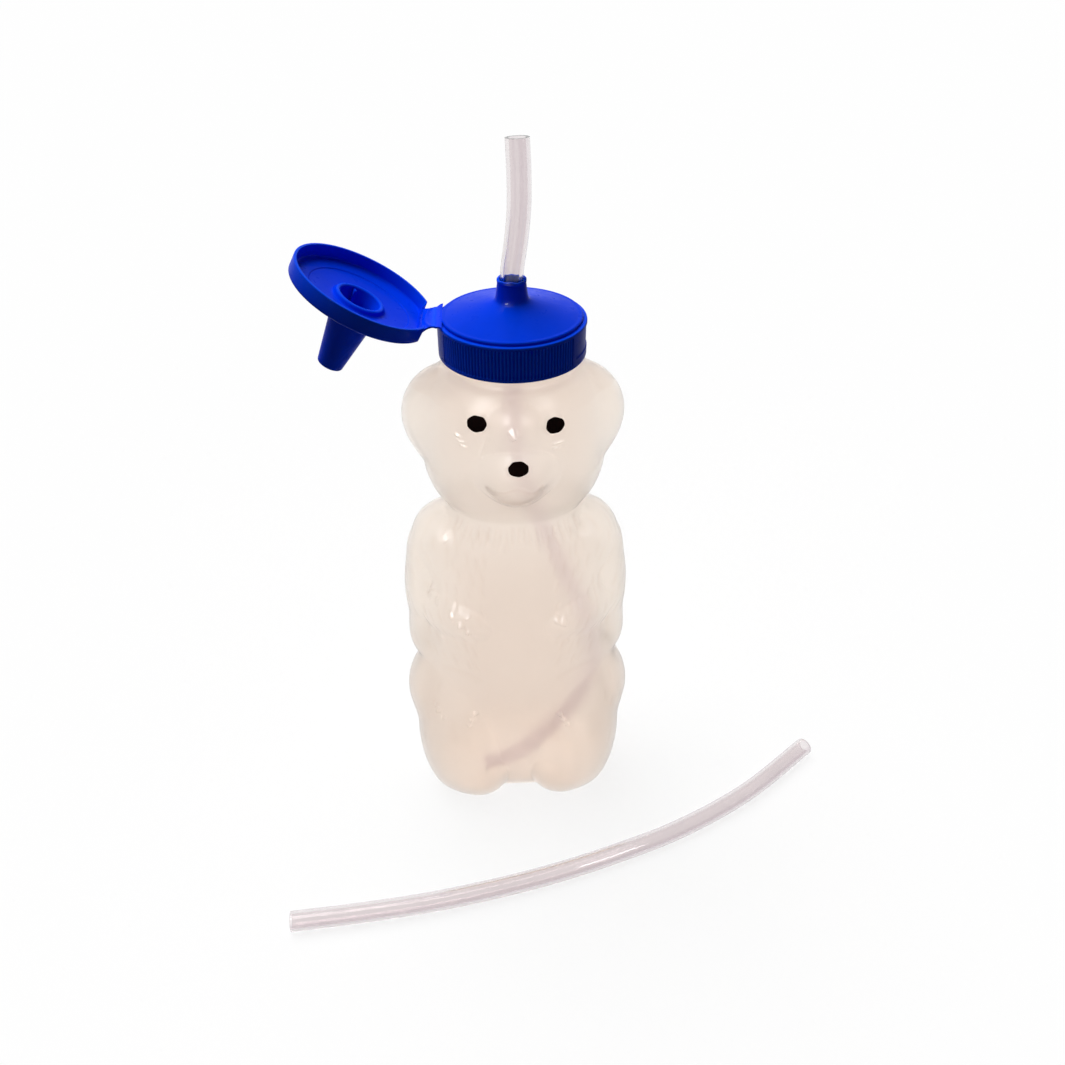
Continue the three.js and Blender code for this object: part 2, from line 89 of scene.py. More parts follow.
class BottleSettings(PropertyGroup):
    width: length("Width", "Across the bear's arms", DRAWN_SIZE[0])
    depth: length("Depth", "From the muzzle to the back", DRAWN_SIZE[1])
    height: length("Height", "Floor to the foot of the neck", DRAWN_SIZE[2])
    wall: length("Wall", "Thickness of the moulded wall", 1.3)
    neck_radius: length("Neck radius", "Outside of the neck without its thread", 17.4)
    neck_height: length("Neck height", "Length of the neck", 10.5)
    neck_wall: length("Neck wall", "Thickness of the neck", 1.5)
    thread_pitch: length("Thread pitch", "Rise of the thread in one turn", 4.23)
    thread_depth: length("Thread depth", "How far the thread stands out", 1.05)
    fur_depth: length("Fur depth", "Depth of the strokes moulded into chest and arms", 0.42)
    crease_depth: length("Crease depth", "Depth of the mouth, ear and limb lines", 0.5)
    plastic: colour("Plastic", "Milky plastic", (0.937, 0.864, 0.805))
    # Painted light: a lighter tone that lifts the shade at the throat and on the arms, hips and ears
    plastic_painted_light: colour("Thin plastic", "Lighter tone where the wall is drawn thin", (0.985, 0.935, 0.885))
    # Warmer, darker tone: towards the bottom of the bear, and as a painted shadow under the cap
    plastic_low_and_shadow: colour("Thick plastic", "Warmer tone where the wall is thick", (0.93, 0.84, 0.77))
    # Painted shade: a darker tone laid into the moulded lines and fur strokes, where shade falls in them
    plastic_crease_shade: colour("Crease", "Tone in the moulded lines", (0.80, 0.70, 0.63))
    ink: colour("Ink", "Printed eyes and nose", screen(9, 3, 2))
    ink_worn: colour("Worn ink", "Where the print is thinner", screen(24, 8, 6))


class CapSettings(PropertyGroup):
    ribs: IntProperty(name="Ribs", description="Grip ribs that would fit round the skirt", default=136,
                      min=24)
    radius: length("Radius", "Over the ribs", 20.3)
    inner: length("Inner radius", "Inside of the skirt", 18.85)
    underside: length("Underside", "Height of the deck's underside over the neck", 170.3)
    rib_height: length("Rib height", "Depth of the grip", 0.42)
    foot: length("Foot", "Height of the skirt's lower edge", 161.6)
    shoulder: length("Shoulder", "Height of the skirt's upper edge", 171.4)
    deck_radius: length("Deck radius", "Edge of the raised deck", 19.2)
    crown: length("Crown", "Height of the deck at the spout", 175.6)
    spout_top: length("Spout top", "Height of the spout's lip", 182)
    spout_bore: length("Spout bore", "Inner radius of the spout", 3.25)
    blue: colour("Blue", "Cap and lid", screen(1, 58, 222))
    # Painted highlight: a lighter blue on the cap's and lid's edges and rib crests, where light catches them
    blue_highlight: colour("Edge blue", "Rubbed and thin edges", screen(16, 94, 255))


class LidSettings(PropertyGroup):
    radius: length("Radius", "Outside of the rim", 19.5)
    foot: length("Foot", "Height of the rim's edge when shut", 172.65)
    rim: length("Rim", "Thickness of the rim", 0.8)
    depth: length("Depth", "From the rim's edge to the plate", 3.4)
    wall_foot: length("Wall foot", "From the rim's edge back to the straight wall at the strap", 1.9)
    flat: length("Flat", "Distance of the straight wall from the axis", 17.3)
    tip: length("Tip", "Height of the spout cover's end when shut", 197.95)
    cover_mouth: length("Cover mouth", "Inner radius of the spout cover at the plate", 5.65)
    cover_bore: length("Cover bore", "Inner radius of the spout cover at its end", 2.65)
    open_angle: FloatProperty(name="Open", description="How far the lid is swung open",
                              default=math.radians(151), subtype="ANGLE", unit="ROTATION")
    hinge_radius: length("Hinge radius", "Distance of the strap's fold from the axis", 20.1)
    hinge_height: length("Hinge height", "Height of the strap's fold", 171.8)
    strap_width: length("Strap width", "Width of the strap at its ends", 15.4)
    strap_thickness: length("Strap thickness", "Thickness of the strap", 0.6)
    blue: colour("Blue", "Lid, thinner than the cap", screen(1, 56, 228))
    strap_blue: colour("Strap blue", "Thin strap that lets light through", screen(1, 60, 238))
    strap_edge: colour("Strap fold", "Where the strap is thinnest", screen(12, 84, 250))


class StrawSettings(PropertyGroup):
    radius: length("Radius", "Outside of the tubing", 3.1)
    wall: length("Wall", "Thickness of the tubing", 0.95)
    tint: colour("Tint", "What one wall of the tubing lets through", (0.852, 0.805, 0.81))
    # Painted refraction: the dark floor and shadow seen through the tubing's sides, drawn as lines along it
    painted_refraction: colour("Streak", "Lines that the die leaves along the tubing", (0.68, 0.60, 0.64))
    hazed: colour("Inside tint", "Tint of the stretch that is seen through the bottle", (0.945, 0.92, 0.94))
    hazed_low: colour("Low tint", "Tint of the stretch that lies close to the wall", (0.90, 0.865, 0.89))


class StageSettings(PropertyGroup):
    lens: FloatProperty(name="Lens", description="Focal length of the camera in millimetres", default=31.369)
    key: FloatProperty(name="Key lamp", description="Strength of the wide soft lamp above", default=3.6)
    window_glow: FloatProperty(name="Windows", description="Brightness of the panes that glint",
                               default=17)
    sky: FloatProperty(name="Sky", description="Strength of the even light from all round", default=0.03)
    floor: colour("Floor", "Pale floor", (0.14, 0.14, 0.14))
    floor_glow: FloatProperty(name="Floor glow", description="What makes the lit floor white to the eye",
                              default=0.84)


# Working by hand in code


def start_fresh():
    """Leave edit mode and let go of everything that is selected."""
    if bpy.context.object and bpy.context.object.mode != "OBJECT":
        bpy.ops.object.mode_set(mode="OBJECT")
    bpy.ops.object.select_all(action="DESELECT")


def take(*pieces):
    """Select these pieces alone, the last one as the active one."""
    start_fresh()
    for piece in pieces:
        piece.select_set(True)
    bpy.context.view_layer.objects.active = pieces[-1]


def new_piece(name):
    piece = bpy.context.object
    piece.name = name
    piece.data.name = name
    return piece


def corners(piece):
    """The piece's corner points in millimetres."""
    flat = np.empty(len(piece.data.vertices) * 3)
    piece.data.vertices.foreach_get("co", flat)
    return flat.reshape(-1, 3) / MM


def put_corners(piece, points):
    piece.data.vertices.foreach_set("co", (points * MM).ravel())
    piece.data.update()


@contextmanager
def editing():
    """Work in edit mode with everything selected."""
    bpy.ops.object.mode_set(mode="EDIT")
    bpy.ops.mesh.select_all(action="SELECT")
    yield
    bpy.ops.object.mode_set(mode="OBJECT")


@contextmanager
def chosen(piece, wanted):
    """Work in edit mode on the corner points that are wanted."""
    bpy.ops.object.mode_set(mode="EDIT")
    bpy.ops.mesh.select_mode(type="VERT")
    bpy.ops.mesh.select_all(action="DESELECT")
    bpy.ops.object.mode_set(mode="OBJECT")
    piece.data.vertices.foreach_set("select", np.asarray(wanted, bool))
    bpy.ops.object.mode_set(mode="EDIT")
    yield
    bpy.ops.object.mode_set(mode="OBJECT")


def close_skin(merge=0.004):
    """Merge points that lie on each other and turn all faces outwards, in edit mode."""
    bpy.ops.mesh.select_all(action="SELECT")
    bpy.ops.mesh.remove_doubles(threshold=merge * MM)
    bpy.ops.mesh.normals_make_consistent(inside=False)


def apply_modifier(piece, kind, **values):
    modifier = piece.modifiers.new(kind.title(), kind)
    for key, value in values.items():
        setattr(modifier, key, value)
    bpy.ops.object.modifier_apply(modifier=modifier.name)


def join(extra, piece):
    take(extra, piece)
    bpy.ops.object.join()


def smooth(piece, degrees):
    take(piece)
    bpy.ops.object.shade_smooth_by_angle(angle=math.radians(degrees))


def finished(piece, material, body, slot, *nodes):
    """Give a piece its material, the body it rides on and the CAD nodes it stands for."""
    start_fresh()
    if material.name not in piece.data.materials:
        piece.data.materials.append(material)
    if body:
        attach(piece, body)
    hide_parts(*nodes)
    return {"FINISHED"}


def eased(outline, steps=4):
    """An outline of radius, height and rounding, with its corners rounded."""
    points = []
    count = len(outline)
    for k, (radius, height, ease) in enumerate(outline):
        here = np.array((radius, height))
        if ease == 0:
            points.append(here)
            continue
        before = np.array(outline[k - 1][:2]) - here
        after = np.array(outline[(k + 1) % count][:2]) - here
        cut = min(ease, 0.48 * np.linalg.norm(before), 0.48 * np.linalg.norm(after))
        first = here + before / np.linalg.norm(before) * cut
        last = here + after / np.linalg.norm(after) * cut
        for t in np.linspace(0, 1, steps + 1):
            points.append((1 - t) ** 2 * first + 2 * t * (1 - t) * here + t ** 2 * last)
    return points


def turned(name, outline, steps, closed=True):
    """A piece turned on the upright axis from an outline of radius and height."""
    start_fresh()
    points = [Vector((radius, 0, height)) * MM for radius, height in outline]
    if closed:
        points.append(points[0])
    bpy.ops.mesh.primitive_plane_add(size=MM, location=(0, 0, 0))
    piece = new_piece(name)
    with editing():
        bpy.ops.mesh.merge(type="CENTER")
        bpy.ops.transform.translate(value=points[0])
        for before, after in zip(points, points[1:]):
            bpy.ops.mesh.extrude_vertices_move(TRANSFORM_OT_translate={"value": after - before})
        bpy.ops.mesh.select_all(action="SELECT")
        bpy.ops.mesh.spin(steps=steps, angle=2 * math.pi, center=(0, 0, 0), axis=(0, 0, 1))
        close_skin()
    return piece


def write_share(piece, name, values):
    """Keep a number from 0 to 1 at each corner point, for the material to read."""
    layer = piece.data.attributes.new(name, "FLOAT", "POINT")
    layer.data.foreach_set("value", np.clip(values, 0, 1).astype(np.float32))


def bell(value, width):
    """1 where the value is 0, falling to 0 on both sides."""
    return np.exp(-(value / width) ** 2)


def soft_step(value):
    """0 below 0 and 1 above 1, with a soft rise between."""
    share = np.clip(value, 0, 1)
    return share * share * (3 - 2 * share)


def smooth_run(first, last, leave, arrive, t):
    """The place at share t of a smooth run from first to last, with the slopes at its ends."""
    a = 2 * first - 2 * last + leave + arrive
    b = 3 * last - 3 * first - 2 * leave - arrive
    return ((a * t + b) * t + leave) * t + first


# Materials


def new_material(name):
    material = bpy.data.materials.new(name)
    material.use_nodes = True
    tree = material.node_tree
    return material, tree, tree.nodes["Principled BSDF"]


def set_sockets(tree, node, **sockets):
    """Set a node's sockets, each by a link, a number or a colour."""
    for key, value in sockets.items():
        socket = node.inputs[key.replace("_", " ")]
        if isinstance(value, bpy.types.NodeSocket):
            tree.links.new(value, socket)
        else:
            socket.default_value = value


def add_node(tree, kind, **sockets):
    node = tree.nodes.new(kind)
    set_sockets(tree, node, **sockets)
    return node


def share_of(tree, name):
    """The share that the piece keeps under this name."""
    node = tree.nodes.new("ShaderNodeAttribute")
    node.attribute_name = name
    return node.outputs["Fac"]


def speckle(tree, scale, detail=2.0):
    """Noise on the piece's own coordinates; scale counts its grains in one metre."""
    place = tree.nodes.get("Place") or tree.nodes.new("ShaderNodeTexCoord")
    place.name = "Place"
    noise = add_node(tree, "ShaderNodeTexNoise", Vector=place.outputs["Object"], Scale=scale, Detail=detail,
                     Roughness=0.55)
    return noise.outputs["Fac"]


def spread(tree, value, low, high, start=0.3, end=0.7):
    """Turn a share between start and end into a number between low and high."""
    node = add_node(tree, "ShaderNodeMapRange", Value=value, From_Min=start, From_Max=end, To_Min=low,
                    To_Max=high)
    return node.outputs["Result"]


def two_tones(tree, share, first, second):
    mix = tree.nodes.new("ShaderNodeMix")
    mix.data_type = "RGBA"
    tree.links.new(share, mix.inputs["Factor"])
    for socket, tone in ((mix.inputs[6], first), (mix.inputs[7], second)):
        if isinstance(tone, bpy.types.NodeSocket):
            tree.links.new(tone, socket)
        else:
            socket.default_value = (*tone, 1)
    return mix.outputs[2]


def mottled(tree, scale, first, second, detail=2.0):
    """Two tones in soft patches."""
    return two_tones(tree, spread(tree, speckle(tree, scale, detail), 0, 1), first, second)


def grain(tree, shader, height, strength, depth):
    """A fine moulded surface: depth in millimetres."""
    bump = add_node(tree, "ShaderNodeBump", Height=height, Strength=strength, Distance=depth * MM)
    set_sockets(tree, shader, Normal=bump.outputs["Normal"])


def darker(tone, share):
    return tuple(channel * share for channel in tone)


def milky_plastic(settings):
    """Milky at the top and clearer near the floor; warmer and darker towards the bottom, with a painted
    shadow under the cap, painted light that lifts the shade at the throat and limbs, and painted shade in the
    moulded lines.
    """
    material, tree, shader = new_material("milky_plastic")
    tone = mottled(tree, 55, darker(settings.plastic, 0.985), settings.plastic, 3)
    split = add_node(tree, "ShaderNodeSeparateXYZ", Vector=tree.nodes["Place"].outputs["Object"])
    level = split.outputs["Z"]
    for share, other in (
        # Warmer and darker towards the bottom
        (spread(tree, level, 0.75, 0, 0.03, 0.065), settings.plastic_low_and_shadow),
        # Painted light that lifts the shade at the throat and limbs
        (share_of(tree, "thin"), settings.plastic_painted_light),
        # Painted shadow under the cap: a warmer, darker tone at the top of the head
        (spread(tree, level, 0, 0.8, 0.148, 0.1585), settings.plastic_low_and_shadow),
        # Painted shade in the moulded lines and fur strokes
        (share_of(tree, "crease"), settings.plastic_crease_shade),
    ):
        tone = two_tones(tree, share, tone, other)
    haze = tree.nodes.new("ShaderNodeMath")
    haze.operation = "ADD"
    tree.links.new(spread(tree, speckle(tree, 160), -0.03, 0.03), haze.inputs[0])
    tree.links.new(spread(tree, level, 0.315, 0.52, 0.03, 0.06), haze.inputs[1])
    plain_coat, rubbed_coat = 0.34, 0.03
    coat = spread(tree, share_of(tree, "polish"), plain_coat, rubbed_coat, 0, 1)
    shader.inputs["Coat Roughness"].default_value = plain_coat
    set_sockets(tree, shader, Base_Color=tone, Roughness=haze.outputs[0], Transmission_Weight=0.95, IOR=1.11,
                Coat_Weight=1, Coat_Roughness=coat)
    grain(tree, shader, speckle(tree, 1100), 0.1, 0.05)
    return material


def printed_ink(settings):
    material, tree, shader = new_material("dark_ink")
    set_sockets(tree, shader, Base_Color=mottled(tree, 1400, settings.ink, settings.ink_worn),
                Roughness=spread(tree, speckle(tree, 700), 0.4, 0.6), IOR=1.08)
    grain(tree, shader, speckle(tree, 2500), 0.2, 0.02)
    return material


def moulded_blue(name, tone, edge_tone):
    """Satin blue with a lighter tone on its edges, painted highlight on the cap and the lid and a lighter
    band across the strap; it is glossy only where it is rubbed.
    """
    material, tree, shader = new_material(name)
    plain = mottled(tree, 90, darker(tone, 0.9), tone, 3)
    set_sockets(tree, shader, Base_Color=two_tones(tree, share_of(tree, "edge"), plain, edge_tone),
                Roughness=spread(tree, speckle(tree, 400), 0.26, 0.38), IOR=1.07,
                Specular_Tint=(0.04, 0.2, 1, 1), Coat_Roughness=0.08,
                Coat_Weight=spread(tree, share_of(tree, "gloss"), 0.03, 0.8, 0, 1))
    grain(tree, shader, speckle(tree, 2200), 0.06, 0.02)
    return material


def foam_liner():
    material, tree, shader = new_material("white_foam")
    set_sockets(tree, shader, Base_Color=mottled(tree, 1800, screen(222, 222, 218), screen(242, 242, 240)),
                Roughness=spread(tree, speckle(tree, 900), 0.6, 0.8))
    grain(tree, shader, speckle(tree, 2600), 0.4, 0.08)
    return material


def clear_tubing(settings):
    """Clear tubing with faint painted refraction lines; inside the bottle it is a soft tint that hardly bends
    the light.
    """
    material, tree, shader = new_material("clear_tubing")
    plain = mottled(tree, 130, darker(settings.tint, 0.985), settings.tint)
    lined = two_tones(tree, share_of(tree, "painted_refraction"), plain, settings.painted_refraction)
    hazed = two_tones(tree, share_of(tree, "low"), settings.hazed, settings.hazed_low)
    inside = share_of(tree, "inside")
    in_air, in_bottle = 1.45, 1.04
    shader.inputs["IOR"].default_value = in_air
    set_sockets(tree, shader, Base_Color=two_tones(tree, inside, lined, hazed), Transmission_Weight=1,
                IOR=spread(tree, inside, in_air, in_bottle, 0, 1),
                Roughness=spread(tree, speckle(tree, 200), 0.06, 0.1))
    grain(tree, shader, speckle(tree, 300), 0.03, 0.04)
    return material


# The bear's mould

# The trunk and head without limbs: height, half width, half depth, shift towards the back
TRUNK = np.array((
    (0, 30, 22, 2), (6, 31.4, 22.8, 2), (20, 32.3, 24.6, 1.5), (36, 32.7, 26, 0.8), (52, 32.2, 25.8, 0.5),
    (66, 32, 25.6, 0.5), (80, 31, 25, 0.5), (92, 28.4, 22.8, 0.5), (101, 25.6, 20.4, 0.5),
    (108, 22.2, 18, 0.5), (113.6, 20.4, 17, 0.5), (117, 22, 18.6, 0.3), (121, 24.4, 20.6, 0),
    (126, 26.1, 22, 0), (131, 26.8, 22.7, 0), (138, 27, 23.2, 0), (145, 26.6, 23.1, 0),
    (150, 25.2, 22.4, 0), (154, 22.8, 21, 0), (157, 19.9, 19.3, 0), (158.5, 18, 18, 0),
))

# Lobes that stand out of it: centre, half sizes, turn in plan, softness of the crease around it
LOBES = (
    ((17.6, 1, 142.3), (14.2, 9.5, 14.4), 0, 8.0),    # ear
    ((0, -18.5, 134.9), (8.9, 12, 9.3), 0, 10.0),     # muzzle
    ((0, -15.5, 147), (6.6, 9.0, 9), 0, 8.0),         # bridge of the nose
    ((20, 0, 98), (12.8, 13, 13.5), 0, 4.0),          # shoulder
    ((28, -1, 80), (7.9, 10.5, 22), 0, 4.5),          # upper arm
    ((25.6, -4, 64), (9.8, 10, 12), 0, 3.0),          # elbow
    ((19.6, -13.3, 80), (15, 7.7, 7.6), 41, 3.5),     # forearm
    ((0, -8, 66), (23, 18.3, 30), 0, 3.5),            # belly
    ((20.6, -6, 41), (16.8, 16, 19), 0, 2.6),         # hip
    ((18.6, -9.5, 24), (16.4, 17.6, 34), 0, 3.0),     # leg
    ((14.5, -14.5, 10), (12, 12.4, 14), 0, 2.6),      # foot
)
FOOT_ROUNDING = 4
PLAN_POWER = 2.2


def trunk_section(height):
    """Half width, half depth and shift of the trunk at each height."""
    k = np.clip(np.searchsorted(TRUNK[:, 0], height, side="right") - 1, 0, len(TRUNK) - 2)
    before, first, last, after = (TRUNK[np.clip(k + step, 0, len(TRUNK) - 1)] for step in (-1, 0, 1, 2))
    span = last[..., 0] - first[..., 0]
    t = np.clip((height - first[..., 0]) / span, 0, 1)
    section = []
    for c in (1, 2, 3):
        leave = (last[..., c] - before[..., c]) / np.maximum(last[..., 0] - before[..., 0], span) * span
        arrive = (after[..., c] - first[..., c]) / np.maximum(after[..., 0] - first[..., 0], span) * span
        section.append(smooth_run(first[..., c], last[..., c], leave, arrive, t))
    return section


def lobe_reach(at, half, turn, angle, height):
    """How far a level ray from the axis runs before it leaves a lobe, falling off where it misses."""
    level = (height - at[2]) / half[2]
    cos, sin = math.cos(turn), math.sin(turn)
    centre = ((at[0] * cos + at[1] * sin) / half[0], (at[1] * cos - at[0] * sin) / half[1])
    dx = (np.cos(angle) * cos + np.sin(angle) * sin) / half[0]
    dy = (np.sin(angle) * cos - np.cos(angle) * sin) / half[1]
    a = dx * dx + dy * dy
    b = dx * centre[0] + dy * centre[1]
    inside = b * b - a * (centre[0] ** 2 + centre[1] ** 2 + level * level - 1)
    return (b + np.sign(inside) * np.sqrt(np.abs(inside))) / a


def mould_radius(angle, height):
    """Distance of the bear's smooth outside from the axis."""
    half_width, half_depth, shift = trunk_section(height)
    across = np.abs(np.cos(angle)) / half_width
    along = np.abs(np.sin(angle)) / (half_depth + shift * np.sin(angle))
    radius = (across ** PLAN_POWER + along ** PLAN_POWER) ** (-1 / PLAN_POWER)
    for at, half, turn, softness in LOBES:
        for side in ((1,) if at[0] == 0 else (1, -1)):
            reach = lobe_reach((at[0] * side, at[1], at[2]), half, math.radians(turn) * side, angle, height)
            share = np.maximum(softness - np.abs(radius - reach), 0) / softness
            radius = np.maximum(radius, reach) + share * share * softness / 4
    under = np.clip(FOOT_ROUNDING - height, 0, FOOT_ROUNDING)
    return radius - FOOT_ROUNDING + np.sqrt(FOOT_ROUNDING ** 2 - under ** 2)


def stretch(settings):
    """How much wider, deeper and higher the bear is than its mould is drawn."""
    return np.array((settings.width, settings.depth, settings.height)) / MM / DRAWN_SIZE


def along_path(across, height, path, width):
    """1 on a line drawn on the front, falling to 0 away from it."""
    nearest = np.full(np.shape(across), 1e9)
    for (x0, z0), (x1, z1) in zip(path, path[1:]):
        run, rise = x1 - x0, z1 - z0
        t = np.clip(((across - x0) * run + (height - z0) * rise) / (run * run + rise * rise), 0, 1)
        nearest = np.minimum(nearest, np.hypot(across - x0 - t * run, height - z0 - t * rise))
    return bell(nearest, width)


# Lines on the bear's front: sideways and up, width, share of the crease depth
MOUTH = ((-8.0, 133.6), (-6.9, 133.1), (-5.3, 133.3), (-3.4, 134.0), (-1.8, 134.9), (-0.5, 135.3),
         (0.8, 135.0), (2.4, 134.1), (4.3, 133.3), (5.7, 133.7), (6.5, 134.4))
LIP = ((-7.9, 132.4), (-5.6, 130.9), (-2.9, 130.0), (0, 129.8), (3.0, 130.3), (5.2, 131.5), (6.6, 133.0))
FRONT_LINES = (
    (MOUTH, 0.55, 1.2),
    (LIP, 0.7, -0.9),
    (((-7.9, 147.6), (-8.8, 144.2), (-9.6, 141)), 0.55, -0.8),
    (((-24, 59.5), (-19.5, 60.6), (-15.5, 60.2), (-12.5, 58.6)), 1.0, 0.5),
    (((12.5, 58.6), (15.5, 60.2), (19.5, 60.6), (24, 59.5)), 1.0, 0.5),
    (((-22.5, 40), (-21.6, 33.5)), 1.8, 0.5),
    (((-18, 38), (-17.6, 32.5)), 1.6, 0.4),
    (((11.6, 36.4), (12.2, 31.5)), 1.8, 0.5),
    (((24, 40), (24.4, 33)), 1.9, 0.5),
)
# Tufts with a flat upper side: sideways and up, turn of that side, its width and length, its slope
TUFTS = (
    # Cheeks
    (-15.4, 146.5, 20, 2.6, 0.8, 0.54), (-14.8, 145.2, 14, 2.8, 0.8, 0.57),
    (-14.2, 143.9, 12, 2.2, 0.75, 0.6), (11.2, 144.6, -3, 3.4, 0.6, 0.57),
    (10.8, 143.2, -3, 2.2, 0.5, 0.6),
    # Bridge of the nose
    (-1, 149.6, -36, 2.2, 2.6, 0.42),
    # Elbow
    (-25.7, 88.6, 46, 1.6, 1.5, 0.85), (-27.1, 85.6, 125, 1.4, 1.3, 0.8),
    (-24.8, 85.4, 115, 1.5, 1.3, 0.55),
    # Forearms
    (-20.3, 83.9, 35, 2.0, 1.7, 0.4), (-17.7, 82.1, -8, 2.2, 1.8, 0.5), (-15.3, 80.3, 5, 2.0, 1.6, 0.78),
    (-18.2, 86, 60, 3.0, 0.7, 0.1), (-15.4, 84.5, -30, 2.6, 0.7, 0.22), (13.2, 83, 22, 4.0, 2.2, 0.38),
    # Shoulder
    (-21.4, 106.5, 0, 1.8, 4.0, 0.05),
    # Left knee
    (-27.1, 45.4, 17, 1.3, 1.4, 0.78), (-26.6, 43.6, 12, 1.4, 1.4, 0.84),
    (-25.1, 41.7, 7, 1.3, 1.2, 0.84), (-14.5, 43.9, -25, 1.5, 1.5, 0.82),
    (-15.6, 41.7, -27, 1.5, 1.4, 0.82), (-16.7, 39.5, -26, 1.3, 1.3, 0.88),
    # Right knee
    (12.9, 42.6, -30, 1.5, 1.5, 1.35), (14.2, 40.6, -26, 1.4, 1.3, 1.3),
    (15.5, 38.6, -25, 1.4, 1.3, 1.25),
)
# Raised buttons that carry the prints: sideways and up, half sizes
BUTTONS = ((-10.2, 150.6, 2.5, 2.2), (10.0, 149.7, 2.5, 2.2), (0.2, 140.5, 2.6, 1.5))
BUTTON_HEIGHT = 0.45
# Fur on arms and legs: heights, angles from the side, each from, to and step; sway, rise, lean, depth shares
FUR_FIELDS = (
    ((66, 108, 5.2), (-46, 60, 7.5), 2.5, 1.6, 4.5, (0.45, 1.0)),
    ((28, 56, 6.0), (-40, 34, 9.0), 3, 2, 3.0, (0.25, 0.6)),
)


def tuft(across, angle, height, x, z, turn, wide, ramp, slope):
    """A small tuft of fur: a flat side that faces up and falls off sharply underneath."""
    sideways = (across - x) / np.maximum(np.abs(np.sin(angle)), 0.3)
    cos, sin = math.cos(math.radians(turn)), math.sin(math.radians(turn))
    down = sideways * sin + (height - z) * cos
    beside = np.abs(sideways * cos - (height - z) * sin)
    foot = bell(np.minimum(down + ramp / 2, 0), 0.25)
    return slope * np.clip(ramp / 2 - down, 0, ramp) * foot * soft_step((wide / 2 + 0.3 - beside) / 0.6)


def ear_rim(across, height):
    """The fold inside the ear's edge: 1 in the hollow of the ear, 0 on its rim."""
    (x, _, z), (half_width, _, half_height), _, _ = LOBES[0]
    ring = np.hypot((np.abs(across) - x) / half_width, (height - z) / half_height)
    outside_head = np.clip((np.abs(across) - 20.5) / 3.5, 0, 1)
    return soft_step((0.9 - ring) / 0.07) * outside_head


def fur_strokes():
    """Strokes of fur as lines of angle and height: start, end, depth share."""
    chance = np.random.default_rng(7)
    strokes = []
    for degrees in np.arange(-150, -28, 5.6):
        tilt = (degrees + 90) * 0.06
        shift = chance.uniform(-1.2, 1.2)
        top = 113.2 + chance.uniform(-0.8, 0.6)
        strokes.append((degrees + shift, top, degrees + shift + tilt, top - chance.uniform(5.5, 8.5),
                        chance.uniform(0.7, 1.1)))
    for side, to_front in ((0, -1), (180, 1)):
        for heights, spots, sway, rise, lean, depths in FUR_FIELDS:
            for height, spot in itertools.product(np.arange(*heights), np.arange(*spots)):
                degrees = side + to_front * (spot + chance.uniform(-sway, sway))
                top = height + chance.uniform(-rise, rise)
                strokes.append((degrees, top + 2.6, degrees + to_front * lean, top - 2.4,
                                chance.uniform(*depths)))
    return strokes


def relief(angle, height, radius, settings):
    """How far the moulded lines lift the surface, in millimetres, and how deep its creases are."""
    across = radius * np.cos(angle)
    front = np.clip(-np.sin(angle) * 4 - 0.4, 0, 1)
    lines = np.zeros(np.shape(angle))
    crease = settings.crease_depth / MM
    for path, width, share in FRONT_LINES:
        lines -= crease * share * along_path(across, height, path, width) * front
    strokes = np.zeros(np.shape(angle))
    fur = settings.fur_depth / MM
    for start, top, end, bottom, share in fur_strokes():
        t = (top - height) / (top - bottom)
        near = (t > 0) & (t < 1)
        path = np.radians(start + (end - start) * t)
        gap = (angle - path + math.pi) % (2 * math.pi) - math.pi
        stroke = bell(gap * radius, 0.6) * np.sin(math.pi * np.clip(t, 0, 1)) ** 0.6
        strokes -= np.where(near, fur * share * stroke, 0)
    seam = 0.09 * bell(np.minimum(np.abs(np.sin(angle)) * radius, 9), 0.35)
    form = seam - 0.7 * crease * ear_rim(across, height) * np.clip(-np.sin(angle) * 6 + 0.3, 0, 1)
    for spot in TUFTS:
        form += tuft(across, angle, height, *spot) * front
    for x, z, half_width, half_height in BUTTONS:
        out = np.hypot((across - x) / half_width, (height - z) / half_height)
        form += BUTTON_HEIGHT * soft_step((1.3 - out) / 0.3) * front
    return lines + strokes + form, -lines - strokes


def skin_point(angle, height, settings, lift=0.0):
    """A point on the moulded outside, in millimetres."""
    radius = mould_radius(angle, height)
    radius = radius + relief(angle, height, radius, settings)[0] + lift
    place = np.stack((radius * np.cos(angle), radius * np.sin(angle), height + 0 * radius), -1)
    return place * stretch(settings)


# Pieces


# Camera and lamps in metres and degrees; panes with their width and height
CAMERA_PLACE = (-0.00686, -0.23596, 0.272)
CAMERA_TURN = (53.8, 0, -3)
KEY_PLACE = (-0.2, 0.25, 0.9)
LIT_SPOT = (0, 0, 0.1)
PANES = (
    ("left_pane", (-0.469, -0.503, 0.547), 0.09, 0.2),
    ("middle_pane", (-0.375, -0.577, 0.547), 0.09, 0.2),
    ("right_pane", (0.424, -0.542, 0.547), 0.12, 0.14),
)


